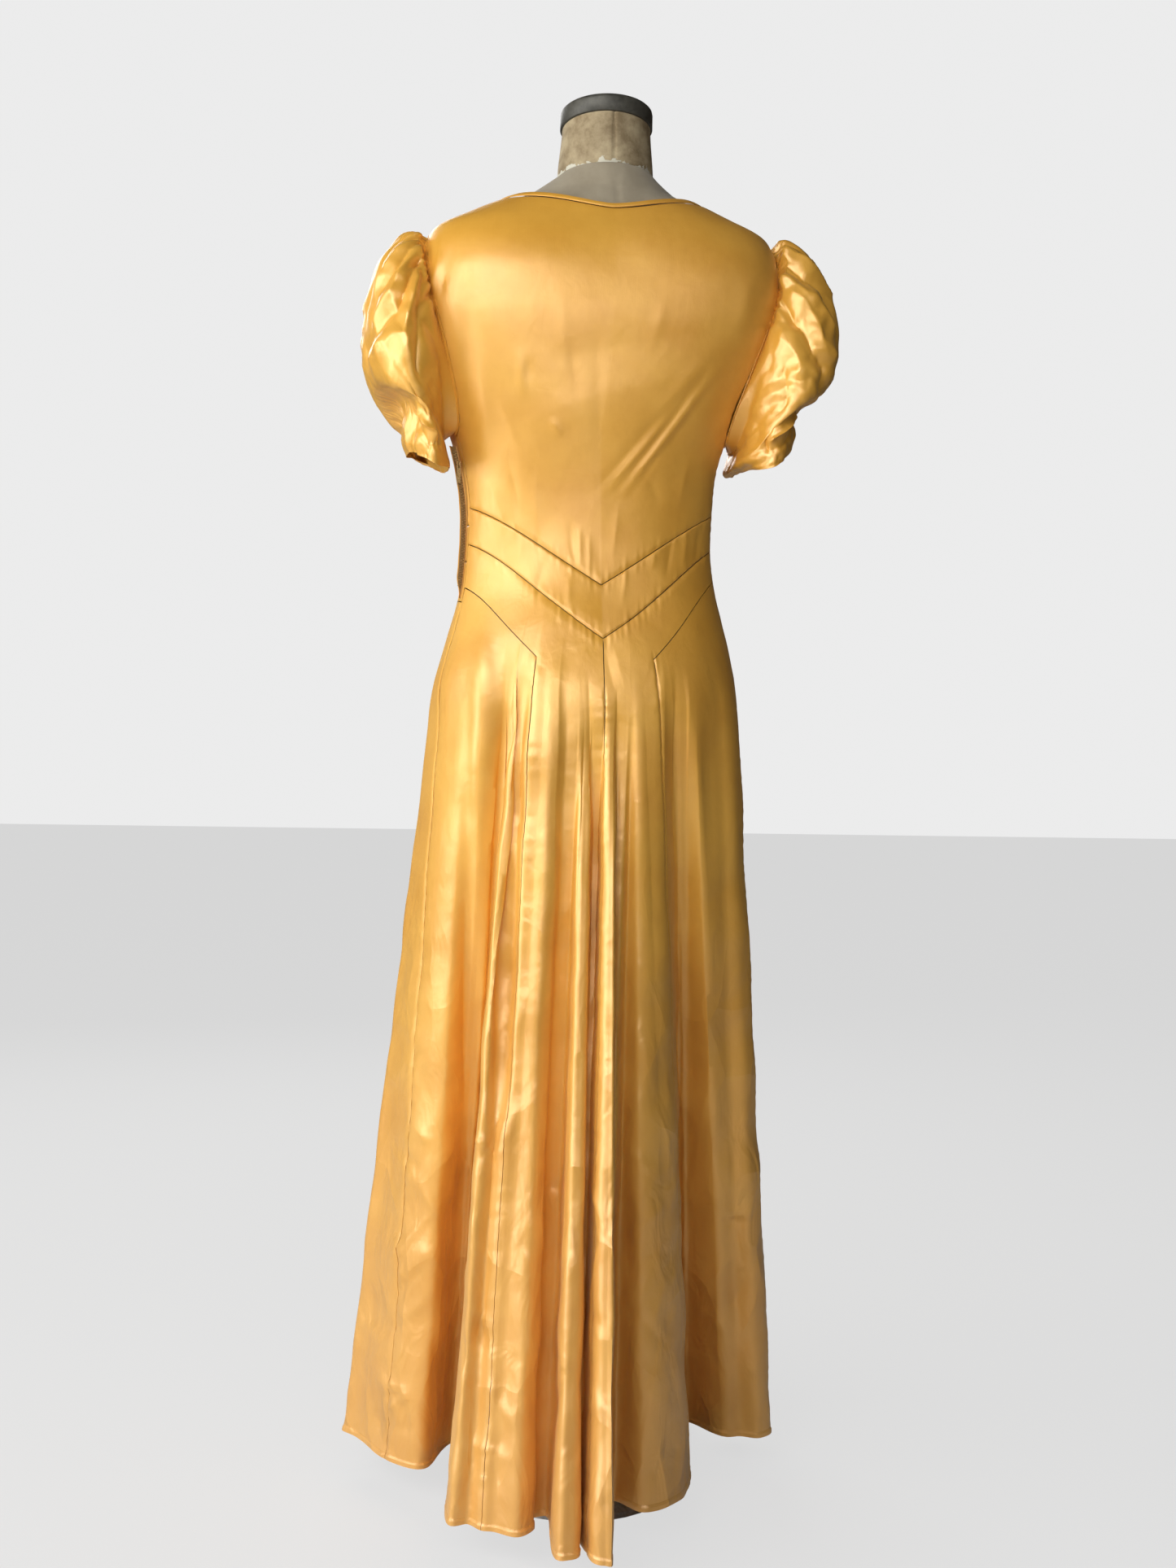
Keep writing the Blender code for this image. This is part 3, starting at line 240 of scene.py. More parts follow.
def body_normal(angle, z):
    angle, z = np.broadcast_arrays(np.asarray(angle, float), np.asarray(z, float))
    round_way = body_point(angle + NORMAL_TURN, z) - body_point(angle - NORMAL_TURN, z)
    up_way = body_point(angle, z + NORMAL_RISE) - body_point(angle, z - NORMAL_RISE)
    return unit(np.cross(round_way, up_way))


def closed_skin(name, rings, corner=50):
    """A closed mesh through a stack of rings, with a flat face at each end."""
    rows, columns = rings.shape[:2]
    index = np.arange(rows * columns).reshape(rows, columns)
    after = np.roll(index, -1, axis=1)
    faces = np.stack([index[:-1], after[:-1], after[1:], index[1:]], -1).reshape(-1, 4).tolist()
    faces += [index[0, ::-1].tolist(), index[-1].tolist()]
    mesh = bpy.data.meshes.new(name)
    mesh.from_pydata(rings.reshape(-1, 3).tolist(), [], faces)
    mesh.shade_smooth()
    mesh.set_sharp_from_angle(angle=np.radians(corner))
    return into_scene(name, mesh)


def dress(thing, finish, slot_name, *nodes, body="gown_on_form"):
    """Give a piece its finish, and let it stand for its solids and ride on their body."""
    thing.data.materials.clear()
    thing.data.materials.append(finish)
    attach(thing, body)
    if nodes:
        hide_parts(*nodes)


TORSO_HEIGHTS = np.concatenate([[0.757, 0.762, 0.768], np.linspace(0.775, 1.38, 50),
                                np.linspace(1.386, 1.494, 36)])
TORSO_COLUMNS = 120
TORSO_INSET, TORSO_SHOULDER_INSET, TORSO_HIP_INSET = 0.0020, 0.0006, 0.0180
SHOULDER_FROM, SHOULDER_TO = 1.36, 1.40
HIP_TO, HIP_FROM = 0.84, 0.97
FORM_SEAM = {"depth": 0.0012, "half_width": 0.0016}
FORM_SEAM_SHIFT = 0.002
NECK_JOIN = 1.512
NECK_RADIUS_LOW, NECK_RADIUS_TOP = 0.0555, 0.0510
NECK_CENTRE_X = 0.008
NECK_TILT = 0.12
COLLAR_WIDTH, ROUNDED_WIDTH, ROUNDED_HEIGHT = 0.0030, 0.0012, 0.0022


def neck_ring(radius, height, angles):
    """A ring of the neck, its plane tipped forward so that the back stands higher."""
    angle = np.radians(angles)
    y = -radius * np.cos(angle)
    return np.stack([NECK_CENTRE_X + radius * np.sin(angle), y, height - NECK_TILT * y], -1)


def seam_relief(distance, depth=0.0011, half_width=0.0019):
    """A panel's edge rolls in to its seam."""
    return -depth * np.exp(-(distance / half_width) ** 2)


torso_angles = np.arange(TORSO_COLUMNS) * 360.0 / TORSO_COLUMNS
torso_rings = []
for z in TORSO_HEIGHTS:
    point = body_point(torso_angles, z)
    off_centre = np.abs(point[:, 0] - NECK_CENTRE_X - FORM_SEAM_SHIFT)
    inset = TORSO_INSET + TORSO_SHOULDER_INSET * soft_step(SHOULDER_FROM, SHOULDER_TO, z) \
        + TORSO_HIP_INSET * (1 - soft_step(HIP_TO, HIP_FROM, z))
    lift = seam_relief(off_centre, **FORM_SEAM) - inset
    torso_rings.append(point + body_normal(torso_angles, z) * lift[:, None])
torso_rings[0][:, 2] = TORSO_HEIGHTS[0]
for radius, height in ((NECK_RADIUS_LOW + COLLAR_WIDTH, NECK_JOIN - ROUNDED_HEIGHT),
                       (NECK_RADIUS_LOW + ROUNDED_WIDTH, NECK_JOIN - SEAM_GAP)):
    torso_rings.append(neck_ring(radius, height, torso_angles))
torso = closed_skin("torso_linen", np.array(torso_rings))

linen, tree, shader = new_finish("grey_linen", Roughness=0.88, Sheen_Weight=0.15,
                                 Sheen_Roughness=0.5)
place = add_node(tree, "TexCoord")
yarn = {"Scale": 950.0, "Distortion": 2.0, "Detail": 2.0, "Detail_Scale": 3.0}
warp = add_node(tree, "TexWave", bands_direction="Z", **yarn)
weft = add_node(tree, "TexWave", bands_direction="X", **yarn)
cross = add_node(tree, "Mix", data_type="FLOAT", Factor=0.5)
soil = add_node(tree, "TexNoise", Scale=14.0, Detail=5.0, Roughness=0.6)
tone = ramp(tree, (0.3, (0.225, 0.185, 0.120)), (0.72, (0.38, 0.325, 0.230)))
weave = add_node(tree, "Bump", Strength=0.5, Distance=0.0003)
join(tree, *((place, "Object", texture, "Vector") for texture in (warp, weft, soil)),
     (warp, "Fac", cross, "A"), (weft, "Fac", cross, "B"), (cross, "Result", weave, "Height"),
     (soil, "Fac", tone, "Fac"), (tone, "Color", shader, "Base Color"),
     (weave, "Normal", shader, "Normal"))
dress(torso, linen, "form_linen", "form_torso")


# Dress form's neck. Tan canvas stretched round the neck block, worn pale in patches, under a
# dull grey metal cap with a low crown.
NECK_TOP = 1.572
NECK_COLUMNS, NECK_LEVELS, NECK_FIRST_LEVEL = 160, 22, 0.08
NECK_TAPER_END = 1.1
NECK_LUMP, NECK_LUMPS, NECK_LUMP_LEAN, NECK_ARC_OF_DEGREE = 0.0004, 3, 140, 0.00094
CAP_RADIUS = 0.0535
CAP_PROFILE = (
    (CAP_RADIUS - 0.0006, 0.0), (CAP_RADIUS, 0.0006), (CAP_RADIUS, 0.0155),
    (CAP_RADIUS - 0.0005, 0.0180), (CAP_RADIUS - 0.0022, 0.0196), (CAP_RADIUS - 0.0050, 0.0203),
    (CAP_RADIUS * 0.80, 0.0222), (CAP_RADIUS * 0.60, 0.0255), (CAP_RADIUS * 0.38, 0.0278),
    (CAP_RADIUS * 0.12, 0.0290),
)
neck_angles = np.arange(NECK_COLUMNS) * 360.0 / NECK_COLUMNS


def wrapped(angle):
    return (np.asarray(angle, float) + 180.0) % 360.0 - 180.0


neck_rings = [neck_ring(NECK_RADIUS_LOW - ROUNDED_WIDTH, NECK_JOIN, neck_angles),
              neck_ring(NECK_RADIUS_LOW, NECK_JOIN + ROUNDED_HEIGHT, neck_angles)]
for share in np.linspace(NECK_FIRST_LEVEL, 1.0, NECK_LEVELS):
    radius = NECK_RADIUS_LOW + (NECK_RADIUS_TOP - NECK_RADIUS_LOW) * soft_step(
        0, NECK_TAPER_END, share)
    lumps = NECK_LUMP * np.sin(np.radians(neck_angles * NECK_LUMPS + NECK_LUMP_LEAN * share))
    lumps += seam_relief(np.abs(wrapped(neck_angles)) * NECK_ARC_OF_DEGREE, **FORM_SEAM)
    neck_rings.append(neck_ring(radius + lumps, NECK_JOIN + (NECK_TOP - NECK_JOIN) * share,
                                neck_angles))
neck = closed_skin("neck_canvas", np.array(neck_rings))

canvas, tree, shader = new_finish("worn_tan_canvas", Roughness=0.8)
place = add_node(tree, "TexCoord")
threads = add_node(tree, "TexWave", bands_direction="Z", Scale=700.0, Distortion=3.0,
                   Detail=3.0, Detail_Scale=2.0)
patches = add_node(tree, "TexNoise", Scale=45.0, Detail=6.0, Roughness=0.62)
worn = ramp(tree, (0.38, (0.215, 0.155, 0.080)), (0.64, (0.42, 0.335, 0.200)))
height = add_node(tree, "SeparateXYZ")
low_edge = add_node(tree, "MapRange", From_Min=NECK_JOIN + 0.001, From_Max=NECK_JOIN + 0.024,
                    To_Min=0.34, To_Max=-0.20)
flakes = add_node(tree, "TexNoise", Scale=70.0, Detail=4.0, Roughness=0.6)
peel = add_node(tree, "Math", operation="ADD")
bare = ramp(tree, (0.66, (0.0, 0.0, 0.0)), (0.70, (1.0, 1.0, 1.0)))
peeled = add_node(tree, "Mix", data_type="RGBA", B=(0.60, 0.57, 0.46, 1.0))
relief = add_node(tree, "Bump", Strength=0.4, Distance=0.0004)
edge = add_node(tree, "Bump", Strength=0.6, Distance=0.0006)
join(tree, *((place, "Object", end, "Vector") for end in (threads, patches, flakes, height)),
     (patches, "Fac", worn, "Fac"), (height, "Z", low_edge, "Value"),
     (flakes, "Fac", peel, 0), (low_edge, "Result", peel, 1), (peel, "Value", bare, "Fac"),
     (bare, "Color", peeled, "Factor"), (worn, "Color", peeled, "A"),
     (peeled, "Result", shader, "Base Color"), (threads, "Fac", relief, "Height"),
     (bare, "Color", edge, "Height"), (relief, "Normal", edge, "Normal"),
     (edge, "Normal", shader, "Normal"))
dress(neck, canvas, "form_canvas", "form_neck")


def patterned(name, texture, low, high, relief=None, grain=False, **settings):
    """A finish whose colour runs between two by one texture, which can also raise it. The
    texture lies in space, or along the cloth's grain."""
    material, tree, shader = new_finish(name, **settings)
    place = add_node(tree, "UVMap", uv_map="grain") if grain else add_node(tree, "TexCoord")
    kind, values = texture
    pattern, tone = add_node(tree, kind, **values), ramp(tree, low, high)
    join(tree, (place, "UV" if grain else "Object", pattern, "Vector"),
         (pattern, "Fac", tone, "Fac"), (tone, "Color", shader, "Base Color"))
    if relief:
        bump = add_node(tree, "Bump", Strength=relief[0], Distance=relief[1])
        join(tree, (pattern, "Fac", bump, "Height"), (bump, "Normal", shader, "Normal"))
    return material


cap = closed_skin("neck_cap_metal", np.array([
    neck_ring(radius, NECK_TOP + SEAM_GAP + up, neck_angles) for radius, up in CAP_PROFILE]))
grey_metal = patterned(
    "dull_grey_metal", ("TexNoise", {"Scale": 60.0, "Detail": 8.0, "Roughness": 0.7}),
    (0.35, (0.046, 0.044, 0.036)), (0.70, (0.105, 0.100, 0.082)), (0.25, 0.0004), Metallic=0.4)
tree = grey_metal.node_tree
rub = add_node(tree, "MapRange", To_Min=0.38, To_Max=0.62)
join(tree, (tree.nodes["Noise Texture"], "Fac", rub, "Value"),
     (rub, "Result", tree.nodes["Principled BSDF"], "Roughness"))
dress(cap, grey_metal, "form_metal", "form_neck_cap")


# Stand. A round iron base with a pole up into the torso, hidden under the skirt. Both keep
# the solids' shape, painted pale grey and worn in places.
pale_paint = patterned(
    "pale_grey_paint", ("TexNoise", {"Scale": 40.0, "Detail": 7.0, "Roughness": 0.65}),
    (0.36, (0.40, 0.39, 0.37)), (0.50, (0.72, 0.71, 0.69)), (0.25, 0.0004), Roughness=0.55)
for node in ("form_pole", "form_base"):
    for material_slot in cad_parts[node].material_slots:
        material_slot.material = pale_paint


# Bodice, back and front. One panel each of golden satin, cut to the body, sewn at the
# shoulders and sides, with drag lines where the cloth pulls towards the seams.
WALL = 0.0015
REST_GAP = 0.0010
SHELL = 0.0008
BACK_NECK_HEIGHT, FRONT_NECK_HEIGHT, NECK_POINT_HEIGHT = 1.462, 1.400, 1.483
NECK_SCOOP = 1.6
NECK_EDGE_DROP = 0.0035
SHOULDER_TIP_HEIGHT, UNDERARM_HEIGHT = 1.437, 1.213
SIDE_SEAM, BACK_CENTRE = 82.0, -1.0
BACK_LEFT_GORE, BACK_RIGHT_GORE, FRONT_GORE = -35.0, 26.0, 31.0
ARMHOLE_BACK_WIDTH, ARMHOLE_FRONT_WIDTH = 13.0, 22.0
UPPER_SEAM = {"centre": 1.035, "rise": 0.68, "ring": 1.08}
MIDDLE_SEAM = {"centre": 0.974, "rise": 0.79, "ring": 1.03}
LOWER_SEAM = {"corner": 0.952, "rise": 0.97, "ring": 0.99, "centre": 0.915}
FRONT_SEAM_DROP = 0.021
BODICE_COLUMNS, BODICE_ROWS = 145, 97
SHOULDER_SHARE = 5 / 24
BODICE_SIDE_SHARE = 3 / 12


def cloth_point(angle, z):
    """The middle of the cloth where it lies round the body."""
    lift = body_size("ease", np.asarray(z, float)) + REST_GAP + WALL / 2
    return body_point(angle, z) + body_normal(angle, z) * lift[..., None]


def across_from_centre(angle, ring, centre):
    x = body_point(angle, ring)[..., 0]
    return np.abs(x - body_point(centre, ring)[..., 0])


def seam_height(seam, angle, front):
    """Height of a pointed band seam where it crosses an angle, on the back or the front."""
    centre = 180.0 if front else BACK_CENTRE
    drop = FRONT_SEAM_DROP if front else 0.0
    out = across_from_centre(angle, seam["ring"], centre)
    if "corner" not in seam:
        return seam["centre"] - drop + seam["rise"] * out
    left, right = BACK_LEFT_GORE, BACK_RIGHT_GORE
    if front:
        left, right = 180 - FRONT_GORE, 180 + FRONT_GORE
    corner = np.where(wrapped(angle - centre) < 0,
                      across_from_centre(left, seam["ring"], centre),
                      across_from_centre(right, seam["ring"], centre))
    inside = seam["centre"] + (seam["corner"] - seam["centre"]) * out / corner
    outside = seam["corner"] + seam["rise"] * (out - corner)
    return np.where(out < corner, inside, outside) - drop


def panel_angles(front, columns):
    left, centre, right = -SIDE_SEAM, BACK_CENTRE, SIDE_SEAM
    if front:
        left, centre, right = SIDE_SEAM, 180.0, 360.0 - SIDE_SEAM
    half = columns // 2
    return np.concatenate([np.linspace(left, centre, half + 1)[:-1],
                           np.linspace(centre, right, half + 1)])


def armhole(phase, side):
    """Angle and height of an armhole's seam. Phase 0 is the shoulder tip, 90 the back."""
    phase = np.radians(np.asarray(phase, float))
    middle = (SHOULDER_TIP_HEIGHT + UNDERARM_HEIGHT) / 2
    z = middle + (SHOULDER_TIP_HEIGHT - UNDERARM_HEIGHT) / 2 * np.cos(phase)
    mean = (90.0 + SIDE_SEAM) / 2 + (90.0 - SIDE_SEAM) / 2 * np.cos(phase)
    width = np.where(np.sin(phase) > 0, ARMHOLE_BACK_WIDTH, ARMHOLE_FRONT_WIDTH)
    return np.stack([side * (mean - width * np.sin(phase)), z], -1)


def stitched_line(t, stretches):
    """One line through several stretches, each (share of the line, function of 0 to 1)."""
    shares = np.cumsum([0.0] + [share for share, _ in stretches])
    result = np.zeros((len(t), 2))
    for (start, end), (_, stretch) in zip(zip(shares, shares[1:]), stretches):
        here = (t >= start - 1e-9) & (t <= end + 1e-9)
        result[here] = stretch(np.clip((t[here] - start) / (end - start), 0, 1))
    return result


def straight(start, end):
    start, end = np.array(start, float), np.array(end, float)
    return lambda t: start + (end - start) * np.asarray(t)[..., None]


def neckline(t, front):
    """The neck edge across the back or the front, between the two neck points."""
    angle = 90.0 * (2 * np.asarray(t, float) - 1)
    low = FRONT_NECK_HEIGHT if front else BACK_NECK_HEIGHT
    rise = np.abs(np.sin(np.radians(angle))) ** NECK_SCOOP
    return np.stack([angle + (180.0 if front else 0.0), low + (NECK_POINT_HEIGHT - low) * rise],
                    -1)


def bodice_grid(front):
    """Angles and heights of a bodice panel, filled in between its four edges."""
    u, v = np.linspace(0, 1, BODICE_COLUMNS), np.linspace(0, 1, BODICE_ROWS)
    angles = panel_angles(front, BODICE_COLUMNS)
    bottom = np.stack([angles, seam_height(UPPER_SEAM, angles, front)], -1)
    base = 90.0 if front else -90.0
    neck = NECK_POINT_HEIGHT - NECK_EDGE_DROP
    top = stitched_line(u, [
        (SHOULDER_SHARE, straight((base, SHOULDER_TIP_HEIGHT), (base, neck))),
        (1 - 2 * SHOULDER_SHARE, lambda t: neckline(t, front) - (0.0, NECK_EDGE_DROP)),
        (SHOULDER_SHARE, straight((base + 180.0, neck), (base + 180.0, SHOULDER_TIP_HEIGHT)))])
    edges = []
    for side, turns in ((1, 0.0), (-1, 360.0)) if front else ((-1, 0.0), (1, 0.0)):
        way = -1 if front else 1
        low = seam_height(UPPER_SEAM, side * SIDE_SEAM % 360.0 if front else side * SIDE_SEAM,
                          front)
        seam = straight((side * SIDE_SEAM, low), (side * SIDE_SEAM, UNDERARM_HEIGHT))
        edges.append(stitched_line(v, [
            (BODICE_SIDE_SHARE, seam),
            (1 - BODICE_SIDE_SHARE,
             lambda t, way=way, side=side: armhole(way * 180.0 * (1 - t), side))]) + (turns, 0))
    left, right = edges
    u, v = u[None, :, None], v[:, None, None]
    corners = ((1 - v) * ((1 - u) * bottom[0] + u * bottom[-1])
               + v * ((1 - u) * top[0] + u * top[-1]))
    return (1 - v) * bottom + v * top + (1 - u) * left[:, None] + u * right[:, None] - corners


PICTURE_WIDTH, PICTURE_HEIGHT = 1445, 1927
PIXELS_AT_ONE_METRE = 2332.0
CREASE_SOFTEST, CREASE_CRISPEST, CRISP_WIDTH = 1.15, 2.0, 6
FADE_SPAN, FADE_START, FADE_POWER = 0.96, 0.02, 0.9


def seen_at(points):
    """Where points fall in the photograph, in its pixels, across and down."""
    away = points - np.array(camera.location)
    depth = away[..., 1] * np.cos(CAMERA_TURN) - away[..., 0] * np.sin(CAMERA_TURN)
    right = away[..., 0] * np.cos(CAMERA_TURN) + away[..., 1] * np.sin(CAMERA_TURN)
    right, up = right / depth * PIXELS_AT_ONE_METRE, away[..., 2] / depth * PIXELS_AT_ONE_METRE
    across = PICTURE_WIDTH / 2 + right * np.cos(CAMERA_LEAN) + up * np.sin(CAMERA_LEAN)
    down = PICTURE_HEIGHT / 2 + right * np.sin(CAMERA_LEAN) - up * np.cos(CAMERA_LEAN)
    return np.stack([across, down], -1)


def crease_lift(place, creases):
    """Height of creases, in metres. Each runs between two points of the
    photograph, is so many millimetres high and so many pixels to each side."""
    total = np.zeros(place.shape[:-1])
    for x_from, y_from, x_to, y_to, height, half_width in creases:
        start, along = np.array([x_from, y_from]), np.array([x_to - x_from, y_to - y_from])
        share = (place - start) @ along / (along @ along)
        nearest = start + np.clip(share, 0, 1)[..., None] * along
        distance = np.linalg.norm(place - nearest, axis=-1)
        fade = np.sin(np.pi * np.clip(share * FADE_SPAN + FADE_START, 0, 1)) ** FADE_POWER
        crispness = np.clip(half_width / CRISP_WIDTH, CREASE_SOFTEST, CREASE_CRISPEST)
        total += height / 1000 * fade * np.exp(-(distance / half_width) ** crispness)
    return total


def measured(middle, ring):
    """Distances along the cloth, across and up, for the weave to follow."""
    step = np.linalg.norm(np.diff(middle, axis=1, append=middle[:, :1]), axis=-1)
    across = np.concatenate([np.zeros((len(middle), 1)), np.cumsum(step, axis=1)], axis=1)
    if not ring:
        across = across[:, :-1]
    across = across - across[:, across.shape[1] // 2, None]
    column = middle[:, middle.shape[1] // 2]
    up = np.concatenate([[0.0], np.cumsum(np.linalg.norm(np.diff(column, axis=0), axis=-1))])
    return across, np.broadcast_to(up[:, None], across.shape)


SEAM_TRIM = 0.00062
SHARP_RIM, ALL_SMOOTH = 60, 180


def rim_trimmed(points, face, edges, rim, trim):
    """Draw a panel's cut edges back, so that the seam shows between two panels."""
    on_rim = np.zeros(len(points), bool)
    on_rim[edges[rim]] = True
    inward = np.zeros_like(points)
    for start, end in ((0, 1), (1, 2), (2, 3), (3, 0)):
        for here, there in ((start, end), (end, start)):
            meets = on_rim[face[:, here]] & ~on_rim[face[:, there]]
            np.add.at(inward, face[meets, here], points[face[meets, there]]
                      - points[face[meets, here]])
    return points + unit(inward) * trim


def satin_shell(name, middle, outward, keep=None, ring=False, shell=SHELL, trim=SEAM_TRIM):
    """A thin two-sided cloth through a grid of points, with its rims closed."""
    rows, columns = middle.shape[:2]
    spans = columns if ring else columns - 1
    keep = np.ones((rows - 1, spans), bool) if keep is None else keep
    i, j = np.nonzero(keep)
    corner_rows = np.stack([i, i, i + 1, i + 1], -1)
    corner_columns = np.stack([j, j + 1, j + 1, j], -1)
    face = corner_rows * columns + corner_columns % columns
    flat, way = middle.reshape(-1, 3), outward.reshape(-1, 3)
    first = face[0]
    turn = np.cross(flat[first[1]] - flat[first[0]], flat[first[3]] - flat[first[0]])
    if np.dot(turn, way[first[0]]) < 0:
        face = face[:, ::-1]
        corner_rows, corner_columns = corner_rows[:, ::-1], corner_columns[:, ::-1]
    count = rows * columns
    grid_corners = np.stack([corner_rows, corner_columns], -1)
    pairs = [[k, (k + 1) % 4] for k in range(4)]
    edges = np.concatenate([face[:, pair] for pair in pairs])
    edge_corners = np.concatenate([grid_corners[:, pair] for pair in pairs])
    rim = ~np.isin(edges[:, 0] * count + edges[:, 1], edges[:, 1] * count + edges[:, 0])
    trim = np.broadcast_to(trim, middle.shape[:2]).reshape(-1, 1)
    flat = rim_trimmed(flat, face, edges, rim, trim)
    rim_face = np.concatenate([edges[rim][:, ::-1], edges[rim] + count], axis=1)
    rim_corners = np.concatenate([edge_corners[rim][:, ::-1], edge_corners[rim]], axis=1)
    faces = np.concatenate([face, face[:, ::-1] + count, rim_face])
    corners = np.concatenate([grid_corners, grid_corners[:, ::-1], rim_corners])
    across, up = measured(middle, ring)
    grain = np.stack([across[corners[..., 0], corners[..., 1]],
                      up[corners[..., 0], corners[..., 1]]], -1)
    points = np.concatenate([flat + way * shell / 2, flat - way * shell / 2])
    return quad_piece(name, points, faces, grain, SHARP_RIM)


def quad_piece(name, points, faces, grain, sharp):
    """A mesh of four-sided faces with its grain laid out in metres."""
    used, compact = np.unique(faces, return_inverse=True)
    mesh = bpy.data.meshes.new(name)
    mesh.vertices.add(len(used))
    mesh.vertices.foreach_set("co", points[used].astype(np.float32).reshape(-1))
    mesh.loops.add(faces.size)
    mesh.loops.foreach_set("vertex_index", compact.astype(np.int32).reshape(-1))
    mesh.polygons.add(len(faces))
    mesh.polygons.foreach_set("loop_start", np.arange(0, faces.size, 4, dtype=np.int32))
    mesh.update(calc_edges=True)
    layer = mesh.uv_layers.new(name="grain")
    layer.data.foreach_set("uv", grain.astype(np.float32).reshape(-1))
    mesh.shade_smooth()
    mesh.set_sharp_from_angle(angle=np.radians(sharp))
    return into_scene(name, mesh)


def satin(name, light, deep, crumple, dullness):
    """Golden satin: a glossy face of long threads with slubs, soiled patches, a colour that
    turns paler and greyer towards the hem, and fine crumples that grow towards the hem."""
    material, tree, shader = new_finish(
        name, Metallic=0.16, Specular_IOR_Level=1.0, Anisotropic=0.55, Coat_Weight=0.05,
        Coat_Roughness=0.36, Sheen_Weight=0.10, Sheen_Roughness=0.35,
        Sheen_Tint=(1.0, 0.85, 0.55, 1.0))
    grain = add_node(tree, "UVMap", uv_map="grain")
    tangent = add_node(tree, "Tangent", direction_type="UV_MAP", uv_map="grain")
    place = add_node(tree, "TexCoord")
    height = add_node(tree, "SeparateXYZ")
    stretch = add_node(tree, "Mapping", Scale=(900.0, 30.0, 1.0))
    slubs = add_node(tree, "TexNoise", Scale=1.0, Detail=3.0, Roughness=0.55)
    threads = add_node(tree, "TexWave", bands_direction="X", Scale=520.0, Distortion=1.5,
                       Detail=2.0, Detail_Scale=1.5)
    soil = add_node(tree, "TexNoise", Scale=7.5, Detail=6.0, Roughness=0.62)
    tone = ramp(tree, (0.34, deep), (0.64, light))
    # Paler and greyer the lower the cloth lies, by height alone.
    paler_towards_hem = add_node(tree, "MapRange", From_Min=0.70, From_Max=0.05, To_Max=0.6)
    pale = add_node(tree, "Mix", data_type="RGBA", B=(0.74, 0.385, 0.115, 1.0))
    gloss = add_node(tree, "MapRange", From_Min=0.3, From_Max=0.7, To_Min=dullness - 0.05,
                     To_Max=dullness + 0.05)
    join(tree, (place, "Object", height, "Vector"), (place, "Object", soil, "Vector"),
         (grain, "UV", stretch, "Vector"), (stretch, "Vector", slubs, "Vector"),
         (grain, "UV", threads, "Vector"), (soil, "Fac", tone, "Fac"),
         (height, "Z", paler_towards_hem, "Value"), (paler_towards_hem, "Result", pale, "Factor"),
         (tone, "Color", pale, "A"), (pale, "Result", shader, "Base Color"),
         (slubs, "Fac", gloss, "Value"), (gloss, "Result", shader, "Roughness"),
         (tangent, "Tangent", shader, "Tangent"))

    towards_hem = add_node(tree, "MapRange", From_Min=0.80, From_Max=0.28)
    amount = add_node(tree, "MapRange", To_Min=crumple * 0.5, To_Max=crumple * 3.6)
    ripples = add_node(tree, "TexNoise", Scale=38.0, Detail=3.0, Roughness=0.5, Distortion=0.6)
    wander = add_node(tree, "TexNoise", Scale=11.0, Detail=2.0)
    where = add_node(tree, "MapRange", From_Min=0.40, From_Max=0.56)
    in_patches = add_node(tree, "Math", operation="MULTIPLY")
    hanging = add_node(tree, "Mapping", Scale=(1.0, 1.0, 0.60))
    wrinkled = add_node(tree, "TexNoise", Scale=26.0, Detail=2.0, Roughness=0.45,
                        Distortion=1.1)
    drift = add_node(tree, "VectorMath", operation="SCALE", Scale=0.03)
    bent = add_node(tree, "VectorMath", operation="ADD")
    creased = add_node(tree, "TexVoronoi", feature="F1", Scale=17.0)
    weave = add_node(tree, "Bump", Strength=0.12, Distance=0.0002)
    streaks = add_node(tree, "Bump", Strength=0.12, Distance=0.0003)
    folds = add_node(tree, "Bump", Strength=crumple, Distance=0.0030)
    wide_folds = add_node(tree, "Bump", Distance=0.0050)
    fine_folds = add_node(tree, "Bump", Distance=0.0170)
    join(tree, (height, "Z", towards_hem, "Value"), (towards_hem, "Result", amount, "Value"),
         (place, "Object", ripples, "Vector"), (place, "Object", wander, "Vector"),
         (place, "Object", hanging, "Vector"), (hanging, "Vector", wrinkled, "Vector"),
         (wander, "Color", drift, 0), (hanging, "Vector", bent, 0), (drift, "Vector", bent, 1),
         (bent, "Vector", creased, "Vector"), (wander, "Fac", where, "Value"),
         (where, "Result", in_patches, 0), (amount, "Result", in_patches, 1),
         (amount, "Result", wide_folds, "Strength"),
         (in_patches, "Value", fine_folds, "Strength"), (threads, "Fac", weave, "Height"),
         (slubs, "Fac", streaks, "Height"), (ripples, "Fac", folds, "Height"),
         (wrinkled, "Fac", wide_folds, "Height"), (creased, "Distance", fine_folds, "Height"))
    layers = (weave, streaks, folds, wide_folds, fine_folds, shader)
    join(tree, *((below, "Normal", above, "Normal") for below, above in zip(layers, layers[1:])))
    return material


bodice_satin = satin("golden_satin_bodice", light=(0.80, 0.425, 0.062),
                     deep=(0.69, 0.330, 0.036), crumple=0.12, dullness=0.44)
PUCKER_RATES = (420.0, 610.0, 930.0)


def pucker(distance, along, height=0.0006, reach=0.011):
    """Small uneven puckers beside a stitched seam, the same on both of its sides."""
    waves = sum(np.sin(along * rate + rate) for rate in PUCKER_RATES) / 3
    return height * waves * np.exp(-(distance / reach) ** 2)


FACET_LAYERS, FACET_SPANS, FACET_LEAN = 5, (0.8, 1.7), (1, 1, 1.3)
FACET_BEND, FACET_BEND_SPREAD, FACET_ROUNDING = (0.45, 0.3), 0.55, 0.004
FACET_PATCH, FACET_PATCH_SPREAD = (-0.25, 0.7), 0.9


